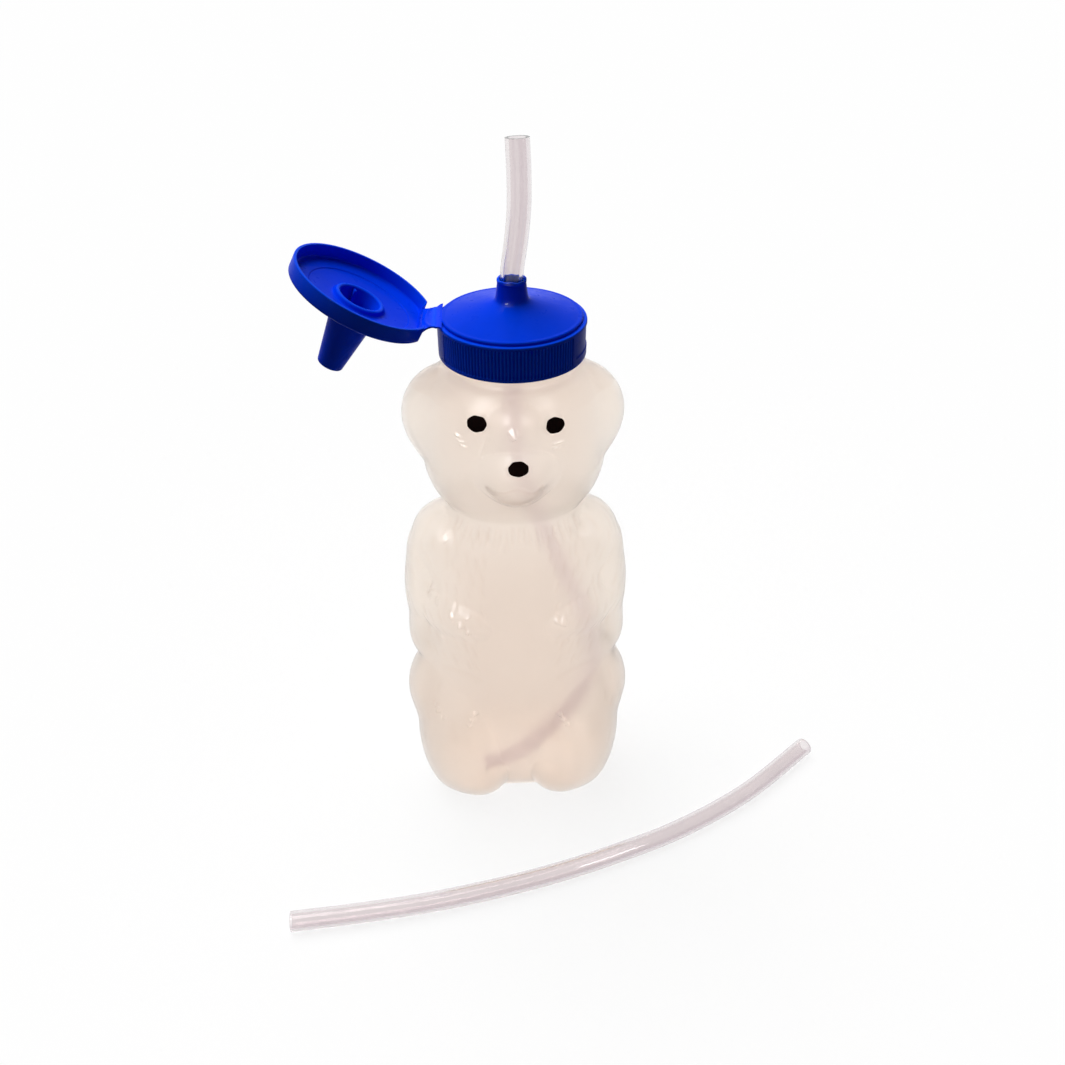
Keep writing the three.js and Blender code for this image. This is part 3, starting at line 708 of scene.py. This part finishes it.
class CUP_OT_stage(Operator):
    """Camera, lamps, even light and a pale floor"""

    bl_idname = "cup.stage"
    bl_label = "Stage"

    def execute(self, context):
        settings = context.scene.cup_stage
        start_fresh()
        bpy.ops.object.camera_add(location=CAMERA_PLACE,
                                  rotation=[math.radians(turn) for turn in CAMERA_TURN])
        camera = new_piece("camera")
        camera.data.sensor_width = 36
        camera.data.lens = settings.lens
        camera.data.clip_start = 0.01
        context.scene.camera = camera

        bpy.ops.object.light_add(type="SUN", location=KEY_PLACE)
        key = new_piece("key_lamp")
        key.data.energy = settings.key
        key.data.angle = math.radians(50)
        key.visible_glossy = False
        self.aim(key)
        for name, place, wide, high in PANES:
            bpy.ops.object.light_add(type="AREA", location=place)
            lamp = new_piece(name)
            lamp.data.shape = "RECTANGLE"
            lamp.data.size, lamp.data.size_y = wide, high
            lamp.data.energy = settings.window_glow * math.pi * wide * high
            lamp.visible_diffuse = False
            self.aim(lamp)

        start_fresh()
        bpy.ops.mesh.primitive_plane_add(size=12, location=(0, 0, 0))
        floor = new_piece("floor")
        with editing():
            bpy.ops.mesh.subdivide(number_cuts=5)
            bpy.ops.transform.translate(value=(0, 0, -0.05 * MM))
        floor.data.materials.append(self.pale_floor(settings))
        self.even_light(context, settings)
        context.scene.view_settings.view_transform = "Standard"
        return {"FINISHED"}

    def aim(self, lamp):
        lamp.rotation_euler = (Vector(LIT_SPOT) - lamp.location).to_track_quat("-Z", "Y").to_euler()

    def seen_directly(self, tree):
        """1 for what the camera sees, also mirrored in the plastic and through it."""
        path = tree.nodes.new("ShaderNodeLightPath")
        seen = path.outputs["Is Camera Ray"]
        for other in ("Is Glossy Ray", "Is Transmission Ray"):
            either = tree.nodes.new("ShaderNodeMath")
            either.operation = "MAXIMUM"
            tree.links.new(seen, either.inputs[0])
            tree.links.new(path.outputs[other], either.inputs[1])
            seen = either.outputs[0]
        return seen

    def pale_floor(self, settings):
        material, tree, shader = new_material("pale_floor")
        glow = spread(tree, self.seen_directly(tree), 0, settings.floor_glow, 0, 1)
        set_sockets(tree, shader, Base_Color=(*settings.floor, 1), Roughness=1, Specular_IOR_Level=0,
                    Emission_Color=(1, 1, 1, 1), Emission_Strength=glow)
        return material

    def even_light(self, context, settings):
        world = bpy.data.worlds.new("even_light")
        world.use_nodes = True
        tree = world.node_tree
        light = spread(tree, self.seen_directly(tree), settings.sky, 1, 0, 1)
        set_sockets(tree, tree.nodes["Background"], Color=(1, 1, 1, 1), Strength=light)
        context.scene.world = world


def bent_route(points, count):
    """Evenly spaced points on a smooth curve through the given ones."""
    points = np.asarray(points, float)
    ends = np.vstack((2 * points[0] - points[1], points, 2 * points[-1] - points[-2]))
    fine = []
    for p0, p1, p2, p3 in zip(ends, ends[1:], ends[2:], ends[3:]):
        d0, d1, d2 = (np.linalg.norm(b - a) ** 0.5 for a, b in ((p0, p1), (p1, p2), (p2, p3)))
        leave = ((p1 - p0) / d0 - (p2 - p0) / (d0 + d1) + (p2 - p1) / d1) * d1
        arrive = ((p2 - p1) / d1 - (p3 - p1) / (d1 + d2) + (p3 - p2) / d2) * d1
        fine.append(smooth_run(p1, p2, leave, arrive, np.linspace(0, 1, 40, endpoint=False)[:, None]))
    fine = np.vstack((*fine, points[-1:]))
    run = np.concatenate(((0,), np.cumsum(np.linalg.norm(np.diff(fine, axis=0), axis=1))))
    even = np.linspace(0, run[-1], count)
    return np.stack([np.interp(even, run, fine[:, c]) for c in range(3)], -1), run[-1]


# Middle lines of the straws, from end to end
DRINKING_ROUTE = (
    (-12.5, -15, 8), (-2, -13.5, 11), (12, -9.5, 20.5), (22.5, -5, 33), (26.4, -2.5, 47), (23.5, -1, 64),
    (16.4, 0, 82), (9.4, 0, 100), (4.2, 0, 115), (0.9, 0, 129), (0, 0, 143), (0, 0, 152), (0, 0, 167),
    (0, 0, 182), (0.25, 0, 185), (1.3, 0.1, 192), (2.1, 0.5, 200), (2.2, 1.2, 208), (1.9, 2, 216.5),
)
SPARE_ROUTE = (
    (-73.6, -70.3, 3.1), (-50.2, -68.3, 3.1), (-25.7, -65.2, 3.1), (6.2, -58.6, 3.1), (31.7, -51, 3.1),
    (54.3, -42.5, 3.1), (79.7, -29, 3.1), (106.5, -9.1, 3.1),
)
# Painted refraction: darker lines along the tubing where its sides show the dark floor and shadow beneath;
# degrees from its front, width in degrees, strength
PAINTED_REFRACTIONS = ((6, 7, 0.55), (22, 9, 0.5), (52, 10, 0.7), (-150, 12, 0.35))
# Below this height the drinking straw is seen through the bottle
UNDER_CAP = 166


class CUP_OT_straws(Operator):
    """The drinking straw in the bottle and the spare straw on the floor"""

    bl_idname = "cup.straws"
    bl_label = "Straws"

    def tubing(self, context, name, route, count):
        settings = context.scene.cup_straw
        line = bpy.data.curves.new(name, "CURVE")
        line.dimensions = "3D"
        line.bevel_depth = settings.radius
        line.bevel_resolution = 22
        spline = line.splines.new("POLY")
        spline.points.add(count - 1)
        points, run = bent_route(route, count)
        for point, place in zip(spline.points, points * MM):
            point.co = (*place, 1)
        piece = bpy.data.objects.new(name, line)
        context.scene.collection.objects.link(piece)
        take(piece)
        bpy.ops.object.convert(target="MESH")
        with editing():
            close_skin()
        apply_modifier(piece, "SOLIDIFY", thickness=settings.wall, offset=-1, use_even_offset=True)
        self.streaks(piece, points)
        smooth(piece, 40)
        return piece, points * MM, run * MM

    def streaks(self, piece, route):
        """Faint painted refraction lines along the tubing, and which stretches of it are in the bottle and
        low in it.
        """
        skin = corners(piece)
        nearest = np.array([np.argmin(((route - point) ** 2).sum(1)) for point in skin])
        along = np.gradient(route, axis=0)[nearest]
        front = np.array((0.03, -0.8, 0.6))
        side = np.cross(along, front)
        side /= np.linalg.norm(side, axis=1)[:, None]
        out = skin - route[nearest]
        turn = np.degrees(np.arctan2((out * side).sum(1), out @ front))
        lines = sum(depth * bell(turn - place, width) for place, width, depth in PAINTED_REFRACTIONS)
        write_share(piece, "painted_refraction", lines)
        in_bottle = (skin[:, 2] < UNDER_CAP) & (np.hypot(skin[:, 0], skin[:, 1]) < 40)
        write_share(piece, "inside", in_bottle)
        write_share(piece, "low", (42 - skin[:, 2]) / 14)

    def execute(self, context):
        settings = context.scene.cup_straw
        material = clear_tubing(settings)
        spare, points, run = self.tubing(context, "spare_straw_tube", SPARE_ROUTE, 64)
        finished(spare, material, "spare", "clear_tubing", "spare_straw")
        straw, _, _ = self.tubing(context, "drinking_straw_tube", DRINKING_ROUTE, 150)
        return finished(straw, material, "straw", "clear_tubing", "drinking_straw")


# The bottle's net: angles and heights, each from, to and count, closest where the moulded forms are smallest
COLUMN_SPANS = ((-190, -157, 28), (-157, -30, 184), (-30, 10, 38), (10, 170, 36))
FOOT_ROWS = (0, 0.2, 0.6, 1.2, 2, 3, 4)
OUTSIDE_SPANS = (
    (5, 37, 27), (37.4, 46.6, 28), (47.5, 60, 12), (60.9, 79, 20), (79.4, 90, 25), (90.9, 102, 12),
    (102.6, 123, 29), (123.4, 142, 40), (142.2, 147.4, 27), (147.8, 152, 11), (152.6, 157.4, 9),
)
INSIDE_SPANS = ((155.6, 116, 11), (114.6, 100, 6), (96.5, 12, 14))
# Rings of the bottom, which is raised in the middle: share of its radius, height
BOTTOM_RINGS = ((0, 0.9), (0.35, 0.9), (0.68, 0.9), (0.8, 0.85), (0.85, 0.55), (0.89, 0.15), (0.93, 0))
THROAT = 113
THREAD_TURNS = 1.25
THREAD_BELOW_TOP = 2.4


def thread_start(bottle):
    """Height at which the neck's thread begins."""
    top = (bottle.height + bottle.neck_height) / MM
    return top - THREAD_BELOW_TOP - THREAD_TURNS * bottle.thread_pitch / MM


class CUP_OT_bottle(Operator):
    """The milky bear with its threaded neck, open inside"""

    bl_idname = "cup.bottle"
    bl_label = "Bear bottle"

    def columns(self):
        """Angles round the bear, closest together across its front."""
        angles = [np.linspace(first, last, count, endpoint=False) for first, last, count in COLUMN_SPANS]
        return np.radians(np.concatenate((*angles, COLUMN_SPANS[-1][1:2])))

    def rows(self, settings):
        """Rings of radius and height from the bottom's middle, up the outside and down the inside."""
        angle = self.columns()
        level = np.full_like(angle, 1.0)
        at_floor = mould_radius(angle, 0 * level)
        rings = [(at_floor * share, height * level, 0 * level) for share, height in BOTTOM_RINGS]
        for height in np.concatenate((FOOT_ROWS, *[np.linspace(*span) for span in OUTSIDE_SPANS])):
            radius = mould_radius(angle, height * level)
            lift, depth = relief(angle, height * level, radius, settings)
            rings.append((radius + lift, height * level, 0.9 * depth))
        return rings + self.neck(angle, settings) + self.inside(angle, settings)

    def neck(self, angle, settings):
        level = np.full_like(angle, 1.0)
        foot, radius = settings.height / MM, settings.neck_radius / MM
        top = foot + settings.neck_height / MM
        pitch, depth = settings.thread_pitch / MM, settings.thread_depth / MM
        rings = [((radius + extra) * level, (foot + rise) * level, 0 * level)
                 for extra, rise in ((1.3, -0.75), (0.7, -0.5), (0.25, -0.1), (0.05, 0.25))]
        start = thread_start(settings)
        for height in np.linspace(foot + 0.6, top - 0.45, 24):
            lift = 0 * angle
            for lap in (0, 1):
                turn = angle % (2 * math.pi) / (2 * math.pi) + lap
                off = np.abs(height - start - turn * pitch)
                ends = np.clip(np.minimum(turn, THREAD_TURNS - turn) * 12, 0, 1)
                lift = np.maximum(lift, depth * ends * np.clip((1.0 - off) / 0.45, 0, 1))
            rings.append((radius + lift, height * level, 0 * level))
        bore = radius - settings.neck_wall / MM
        for place, height in ((radius - 0.12, top - 0.12), (radius - 0.4, top), (bore + 0.35, top),
                              (bore + 0.1, top - 0.1), (bore, top - 0.35), (bore, foot + 4), (bore, foot)):
            rings.append((place * level, height * level, 0 * level))
        return rings

    def inside(self, angle, settings):
        level = np.full_like(angle, 1.0)
        wall = settings.wall / MM
        bore = (settings.neck_radius - settings.neck_wall) / MM
        rings = [((bore + 0.5) * level, (settings.height / MM - 1.5) * level, 0 * level)]
        heights = [np.linspace(*span) for span in INSIDE_SPANS]
        for height in np.concatenate((*heights, (8, 5, 3, wall))):
            radius = mould_radius(angle, height * level)
            above, below = (mould_radius(angle, height * level + step) for step in (0.4, -0.4))
            left, right = (mould_radius(angle + step, height * level) for step in (0.01, -0.01))
            lean = np.clip((above - below) / 0.8, -1.6, 1.6)
            turn = np.clip((left - right) / 0.02 / radius, -1.6, 1.6)
            rings.append((radius - wall * np.sqrt(1 + lean ** 2 + turn ** 2), height * level, 0 * level))
        rings.append((0.5 * rings[-1][0], wall * level, 0 * level))
        rings.append((0 * level, wall * level, 0 * level))
        return rings

    def execute(self, context):
        settings = context.scene.cup_bottle
        angle = self.columns()
        rings = self.rows(settings)
        start_fresh()
        bpy.ops.mesh.primitive_grid_add(x_subdivisions=len(angle) - 1, y_subdivisions=len(rings) - 1, size=2)
        bottle = new_piece("bear_bottle")
        grid = corners(bottle) * MM
        column = np.rint((grid[:, 0] + 1) / 2 * (len(angle) - 1)).astype(int)
        row = np.rint((grid[:, 1] + 1) / 2 * (len(rings) - 1)).astype(int)
        radius, height, crease = (np.array(values)[row, column] for values in zip(*rings))
        points = np.stack((radius * np.cos(angle[column]), radius * np.sin(angle[column]), height), -1)
        points[height < settings.height / MM - 1] *= stretch(settings)
        put_corners(bottle, points)
        # Painted shade: the depth of the moulded lines darkens the plastic's colour there
        write_share(bottle, "crease", crease)
        rubbed = sum(tuft(points[:, 0], angle[column], height, *spot) for spot in TUFTS)
        write_share(bottle, "polish", 6 * rubbed * (points[:, 1] < -5))
        # Painted light: the thin share lightens the throat's crease and the limbs towards the sides, to lift
        # their shade
        throat = bell(points[:, 2] - THROAT, 9)
        limbs = np.clip((np.abs(points[:, 0]) - 14) / 14, 0, 1) * np.clip((points[:, 2] - 40) / 30, 0.2, 1)
        write_share(bottle, "thin", np.maximum(throat, limbs) * (points[:, 2] < 152))
        with editing():
            close_skin(0.0005)
        smooth(bottle, 60)
        return finished(bottle, milky_plastic(settings), "bottle", "milky_plastic", "bottle_shell",
                        "bottle_neck")


# Node, piece, direction in degrees, height, half width and half height, unevenness of the edge
PRINTS = (
    ("left_eye_print", "left_eye_dot", -116, 150.6, 2.7, 2.15, 0.4),
    ("right_eye_print", "right_eye_dot", -64, 149.7, 2.7, 2.15, 1.7),
    ("nose_print", "nose_dot", -89.4, 140.9, 2.75, 1.65, 2.9),
)


class CUP_OT_prints(Operator):
    """The printed eyes and nose"""

    bl_idname = "cup.prints"
    bl_label = "Eyes and nose"

    def dot(self, settings, name, degrees, height, half_width, half_height, wobble):
        """An oval of ink on the mould, a little uneven at its edge."""
        start_fresh()
        bpy.ops.mesh.primitive_circle_add(vertices=56, radius=MM, fill_type="NOTHING")
        piece = new_piece(name)
        with editing():
            for share in (0.96, 0.9, 0.8, 0.72, 0.6, 0.45):
                bpy.ops.mesh.extrude_edges_move()
                bpy.ops.transform.resize(value=(share, share, 1), center_override=(0, 0, 0))
            bpy.ops.mesh.extrude_edges_move()
            bpy.ops.mesh.merge(type="CENTER")
            close_skin(0.001)
        flat = corners(piece)
        turn = np.arctan2(flat[:, 1], flat[:, 0])
        ring = np.hypot(flat[:, 0], flat[:, 1])
        edge = 1 + 0.025 * np.sin(3 * turn + wobble) + 0.02 * np.sin(7 * turn + 2 * wobble)
        reach = mould_radius(np.array(math.radians(degrees)), np.array(height))
        angle = math.radians(degrees) + flat[:, 0] * edge * half_width / reach
        lift = 0.05 + 0.1 * np.clip((1 - ring) / 0.12, 0, 1)
        put_corners(piece, skin_point(angle, height + flat[:, 1] * edge * half_height, settings, lift))
        apply_modifier(piece, "SOLIDIFY", thickness=0.09 * MM, offset=-1)
        smooth(piece, 50)
        return piece

    def execute(self, context):
        settings = context.scene.cup_bottle
        ink = printed_ink(settings)
        for node, name, *shape in PRINTS:
            finished(self.dot(settings, name, *shape), ink, "bottle", "dark_ink", node)
        return {"FINISHED"}


# Play on both sides of the gasket
SEAT_GAP = 0.1


class CUP_OT_gasket(Operator):
    """The foam liner between the neck and the cap"""

    bl_idname = "cup.gasket"
    bl_label = "Gasket"

    def execute(self, context):
        bottle, cap = context.scene.cup_bottle, context.scene.cup_cap
        low = (bottle.height + bottle.neck_height) / MM + SEAT_GAP
        high = cap.underside / MM - SEAT_GAP
        outer = bottle.neck_radius / MM + 0.2
        inner = outer - 2.1
        ring = ((inner, low), (outer, low), (outer, high), (inner, high))
        gasket = turned("foam_gasket", eased([(*corner, 0.25) for corner in ring], 3), 96)
        smooth(gasket, 40)
        return finished(gasket, foam_liner(), "gasket", "white_foam", "neck_gasket")


# Skirt without ribs: degrees on each side of thumb and hinge, and the bands above and below
PLAIN_BY_THUMB = 40
PLAIN_BY_HINGE = 25
PLAIN_BAND = 0.9
# How far the strap is set into the deck's edge
STRAP_SET_IN = 0.45
# The cap's thread across: distance from the axis, rise
THREAD_OUTLINE = ((19.1, -0.95), (18.6, -0.62), (17.95, -0.5), (17.85, -0.2), (17.85, 0.2), (17.95, 0.5),
                  (18.6, 0.62), (19.1, 0.95))


class CUP_OT_cap(Operator):
    """The screw cap: spout, deck and ribbed skirt"""

    bl_idname = "cup.cap"
    bl_label = "Screw cap"

    def execute(self, context):
        cap = context.scene.cup_cap
        radius, foot, shoulder = cap.radius / MM, cap.foot / MM, cap.shoulder / MM
        deck, crown, top = cap.deck_radius / MM, cap.crown / MM, cap.spout_top / MM
        inner, underside = cap.inner / MM, cap.underside / MM
        bore, rim, under_crown = cap.spout_bore / MM, shoulder + 1, crown - 1.4
        outline = eased((
            (bore, top, 0.12), (bore + 0.68, top, 0.22), (bore + 0.72, top - 0.7, 0.2),
            (bore + 0.62, top - 0.95, 0.2), (bore + 1.05, crown + 1.7, 0.8), (bore + 1.5, crown + 0.62, 0.7),
            (bore + 3.2, crown - 0.05, 1.0), (deck - 1.2, rim, 0.3), (deck - 0.3, rim - 0.02, 0.3),
            (deck, rim - 0.35, 0.3), (deck - 0.1, shoulder, 0.12), (radius - 0.12, shoulder, 0.18),
            (radius, shoulder - 0.4, 0.12), (radius, shoulder - 0.82, 0), (radius, shoulder - 1.02, 0),
            (radius, foot + 2.62, 0), (radius, foot + 2.38, 0), (radius, foot + 1.02, 0),
            (radius, foot + 0.82, 0), (radius, foot, 0.3), (inner, foot, 0.2), (inner, underside, 0.3),
            (inner - 3.95, underside, 0.3), (bore + 2.1, under_crown, 0.3), (bore, under_crown, 0.15)))
        steps = cap.ribs * 4
        piece = turned("screw_cap", outline, steps)
        points = corners(piece)
        from_thumb = np.degrees(np.arctan2(points[:, 1], points[:, 0]))
        column = np.rint(from_thumb / 360 * steps).astype(int) % steps
        from_thumb = np.abs(from_thumb)
        on_skirt = np.hypot(points[:, 0], points[:, 1]) > radius - 0.02
        band = on_skirt & (points[:, 2] < shoulder - PLAIN_BAND) & (points[:, 2] > foot + PLAIN_BAND)
        ribbed = band & (from_thumb > PLAIN_BY_THUMB) & (from_thumb < 180 - PLAIN_BY_HINGE)
        thumb_field = band & (from_thumb < PLAIN_BY_THUMB - 3.5) & (points[:, 2] > foot + 2.5)
        for sunk, depth in ((ribbed & (column % 4 > 1), cap.rib_height), (thumb_field, 0.25 * MM)):
            share = 1 - depth / cap.radius
            with chosen(piece, sunk):
                bpy.ops.transform.resize(value=(share, share, 1), center_override=(0, 0, 0))
        self.trim(piece, cap, deck, shoulder, top, ribbed & (column % 4 < 2))
        self.inner_thread(piece, context.scene.cup_bottle)
        smooth(piece, 38)
        blue = moulded_blue("blue_plastic_cap", cap.blue, cap.blue_highlight)
        return finished(piece, blue, "cap", "blue_plastic", "cap_base")

    def trim(self, piece, cap, deck, shoulder, top, crests):
        """A flat for the strap, an uneven lip, and painted highlight on the edges and rib crests."""
        points = corners(piece)
        angle = np.arctan2(points[:, 1], points[:, 0])
        out = np.hypot(points[:, 0], points[:, 1])
        radius, foot, crown = cap.radius / MM, cap.foot / MM, cap.crown / MM
        by_strap = (np.abs(points[:, 1]) < 8.2) & (points[:, 2] > shoulder - 0.05)
        points[by_strap, 0] = np.maximum(points[by_strap, 0], STRAP_SET_IN - deck)
        lip = points[:, 2] > top - 0.3
        points[lip, 2] += 0.12 * np.sin(3 * angle[lip] + 0.6) + 0.09 * np.sin(8 * angle[lip] + 2)
        put_corners(piece, points)
        ring = bell(points[:, 2] - shoulder + 0.12, 0.22) * (out > radius - 0.5)
        low = bell(points[:, 2] - foot - 0.25, 0.3) * (out > radius - 0.4)
        bead = np.clip((points[:, 2] - top + 1.0) / 0.3, 0, 1) * (out < 5)
        # Painted highlight on the skirt's upper and lower edges, the spout's lip and the rib crests
        write_share(piece, "edge", 0.4 * ring + 0.25 * low + 0.3 * bead + 0.8 * crests)
        fillet = bell(points[:, 2] - crown - 0.7, 0.8) * (out < 7)
        write_share(piece, "gloss", np.maximum(fillet, bead) * bell(np.degrees(angle) + 106, 13))

    def inner_thread(self, piece, bottle):
        """The thread inside the skirt, wound from a small outline between the neck's turns."""
        start_fresh()
        pitch = bottle.thread_pitch / MM
        low, turns = 163.25, 1.1
        turn = (low - thread_start(bottle)) / pitch + 0.5
        bpy.ops.mesh.primitive_circle_add(vertices=len(THREAD_OUTLINE), radius=MM, location=(0, 0, 0),
                                          rotation=(math.pi / 2, 0, 0))
        ridge = new_piece("cap_thread")
        bpy.ops.object.transform_apply(location=True, rotation=True, scale=True)
        put_corners(ridge, np.array([(out, 0, low + rise) for out, rise in THREAD_OUTLINE]))
        with editing():
            bpy.ops.mesh.edge_face_add()
            bpy.ops.transform.rotate(value=-2 * math.pi * turn, orient_axis="Z", center_override=(0, 0, 0))
        apply_modifier(ridge, "SCREW", angle=2 * math.pi * turns, screw_offset=pitch * turns * MM, steps=70,
                       render_steps=70, axis="Z", use_normal_calculate=True)
        with editing():
            close_skin(0.001)
            bpy.ops.mesh.select_all(action="DESELECT")
            bpy.ops.mesh.select_non_manifold()
            bpy.ops.mesh.fill()
            close_skin(0.001)
        join(ridge, piece)


class CUP_OT_lid(Operator):
    """The flip lid with its spout cover, swung open"""

    bl_idname = "cup.lid"
    bl_label = "Flip lid"

    def execute(self, context):
        lid, cap = context.scene.cup_lid, context.scene.cup_cap
        radius, foot, rim, tip = lid.radius / MM, lid.foot / MM, lid.rim / MM, lid.tip / MM
        plate, mouth_height = foot + lid.depth / MM, cap.crown / MM + 0.6
        mouth, bore_top, step = lid.cover_mouth / MM, lid.cover_bore / MM, 14.15
        outline = eased((
            (0, tip - 1.2, 0), (bore_top, tip - 1.2, 0.3), (mouth - 0.12, mouth_height + 0.3, 0.3),
            (mouth + 0.35, mouth_height, 0.3), (mouth + 1.1, mouth_height + 0.15, 0.4),
            (mouth + 1.5, plate + 1.6, 0.6), (step - 0.25, plate + 0.8, 0), (step, plate + 0.55, 0.1),
            (radius - rim - 1.2, plate + 0.25, 0.6), (radius - rim, plate - 0.1, 0.4),
            (radius - rim, foot, 0.18), (radius, foot, 0.25), (radius, plate + 0.75, 0.5),
            (radius - 0.5, plate + 1.2, 0.5), (mouth + 1.9, plate + 2.8, 0.8),
            (mouth + 0.7, plate + 3.9, 0.8), (bore_top + 0.95, tip - 0.25, 0.3), (bore_top + 0.6, tip, 0.25),
            (0, tip, 0)))
        piece = turned("flip_lid_shell", outline, 192, closed=False)
        self.cut_rim(piece, lid, plate)
        self.rib(piece, mouth, mouth_height)
        points = corners(piece)
        out = np.hypot(points[:, 0], points[:, 1])
        # Painted highlight on the rim's edge and the spout cover's collar
        edge = bell(points[:, 2] - foot, 0.3) * (out > radius - rim - 0.3)
        collar = bell(points[:, 2] - mouth_height, 0.35) * (out < mouth + 1.6) * (out > mouth - 0.4)
        write_share(piece, "edge", 0.45 * edge + 0.4 * collar)
        with editing():
            bpy.ops.transform.rotate(value=lid.open_angle, orient_axis="Y",
                                     center_override=(-lid.hinge_radius, 0, lid.hinge_height))
        smooth(piece, 38)
        blue = moulded_blue("blue_plastic_lid", lid.blue, cap.blue_highlight)
        return finished(piece, blue, "lid", "blue_plastic", "flip_lid")

    def cut_rim(self, piece, lid, plate):
        """Cut the rim straight and lower where the strap joins it."""
        points = corners(piece)
        flat, rim, foot, radius = lid.flat / MM, lid.rim / MM, lid.foot / MM, lid.radius / MM
        out = np.hypot(points[:, 0], points[:, 1])
        inner = (out < radius - rim + 0.1) & (points[:, 2] < plate + 0.9)
        limit = np.where(inner, flat - rim, flat)
        cut = points[:, 0] < -limit
        wall_foot = foot + lid.wall_foot / MM
        low = cut & (points[:, 2] < wall_foot)
        points[cut, 0] = -limit[cut]
        points[low, 2] = wall_foot
        put_corners(piece, points)

    def rib(self, piece, mouth, mouth_height):
        """A small rib inside the spout cover."""
        start_fresh()
        turn = math.radians(70)
        spot = Vector((math.cos(turn), math.sin(turn), 0)) * (mouth - 0.75) * MM
        bpy.ops.mesh.primitive_cube_add(size=MM, location=spot + Vector((0, 0, (mouth_height + 3) * MM)),
                                        rotation=(0, 0, turn))
        rib = new_piece("cover_rib")
        bpy.ops.transform.resize(value=(1.5, 0.7, 4.6), orient_type="LOCAL")
        bpy.ops.object.transform_apply(location=True, rotation=True, scale=True)
        apply_modifier(rib, "BEVEL", width=0.16 * MM, segments=2)
        join(rib, piece)


class CUP_OT_strap(Operator):
    """The thin strap between cap and lid"""

    bl_idname = "cup.strap"
    bl_label = "Strap"

    def execute(self, context):
        lid, cap = context.scene.cup_lid, context.scene.cup_cap
        start_fresh()
        bpy.ops.mesh.primitive_grid_add(x_subdivisions=24, y_subdivisions=44, size=2)
        strap = new_piece("lid_strap")
        flat = corners(strap) * MM
        share, across = (flat[:, 0] + 1) / 2, flat[:, 1]
        fold, level = lid.hinge_radius / MM, lid.hinge_height / MM
        inward, up = lid.flat / MM - fold, (lid.foot + lid.wall_foot) / MM - level
        turn = lid.open_angle
        lid_end = fold + inward * math.cos(turn) + up * math.sin(turn)
        lid_level = level - inward * math.sin(turn) + up * math.cos(turn)
        start = cap.deck_radius / MM - STRAP_SET_IN
        out = start + (lid_end + 0.15 - start) * share
        half = lid.strap_width / MM / 2 * (0.8 + 0.8 * (share - 0.5) ** 2 + 0.1 * (1 - share) ** 2)
        height = level + (lid_level - level) * share ** 2
        height += 0.28 * bell(share - 0.86 + 0.30 * across ** 2, 0.07) * (np.abs(across) < 0.93)
        height += 0.16 * bell(share - 0.1, 0.05) - 0.14 * bell(share - 0.3, 0.07)
        put_corners(strap, np.stack((-out, across * half, height), -1))
        apply_modifier(strap, "SOLIDIFY", thickness=lid.strap_thickness * 0.8, offset=0)
        with editing():
            close_skin(0.001)
        along = (-corners(strap)[:, 0] - start) / (lid_end - start)
        write_share(strap, "edge", 0.6 * bell(along - 0.42, 0.12))
        smooth(strap, 50)
        blue = moulded_blue("thin_blue_plastic", lid.strap_blue, lid.strap_edge)
        finished(strap, blue, None, "thin_blue_plastic", "hinge_strap")
        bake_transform(strap)
        return {"FINISHED"}


class CUP_PT_pieces(Panel):
    """The cup's pieces and their sizes"""

    bl_idname = "CUP_PT_pieces"
    bl_label = "Bear straw cup"
    bl_space_type = "VIEW_3D"
    bl_region_type = "UI"
    bl_category = "Cup"

    def draw(self, context):
        for operator in OPERATORS:
            self.layout.operator(operator.bl_idname)
        for group in GROUPS:
            box = self.layout.box()
            settings = getattr(context.scene, group)
            for name in settings.bl_rna.properties.keys():
                if name not in ("rna_type", "name"):
                    box.prop(settings, name)


GROUPS = {
    "cup_bottle": BottleSettings,
    "cup_cap": CapSettings,
    "cup_lid": LidSettings,
    "cup_straw": StrawSettings,
    "cup_stage": StageSettings,
}
OPERATORS = (CUP_OT_stage, CUP_OT_straws, CUP_OT_bottle, CUP_OT_prints, CUP_OT_gasket, CUP_OT_cap, CUP_OT_lid,
             CUP_OT_strap)


def register():
    for group in GROUPS.values():
        bpy.utils.register_class(group)
    for name, group in GROUPS.items():
        setattr(bpy.types.Scene, name, PointerProperty(type=group))
    for operator in OPERATORS:
        bpy.utils.register_class(operator)
    bpy.utils.register_class(CUP_PT_pieces)


def unregister():
    bpy.utils.unregister_class(CUP_PT_pieces)
    for operator in reversed(OPERATORS):
        bpy.utils.unregister_class(operator)
    for name in GROUPS:
        delattr(bpy.types.Scene, name)
    for group in reversed(GROUPS.values()):
        bpy.utils.unregister_class(group)


def main():
    register()
    cup = bpy.ops.cup
    for make in (cup.stage, cup.straws, cup.bottle, cup.prints, cup.gasket, cup.cap, cup.lid, cup.strap):
        make()


if __name__ == "__main__":
    main()
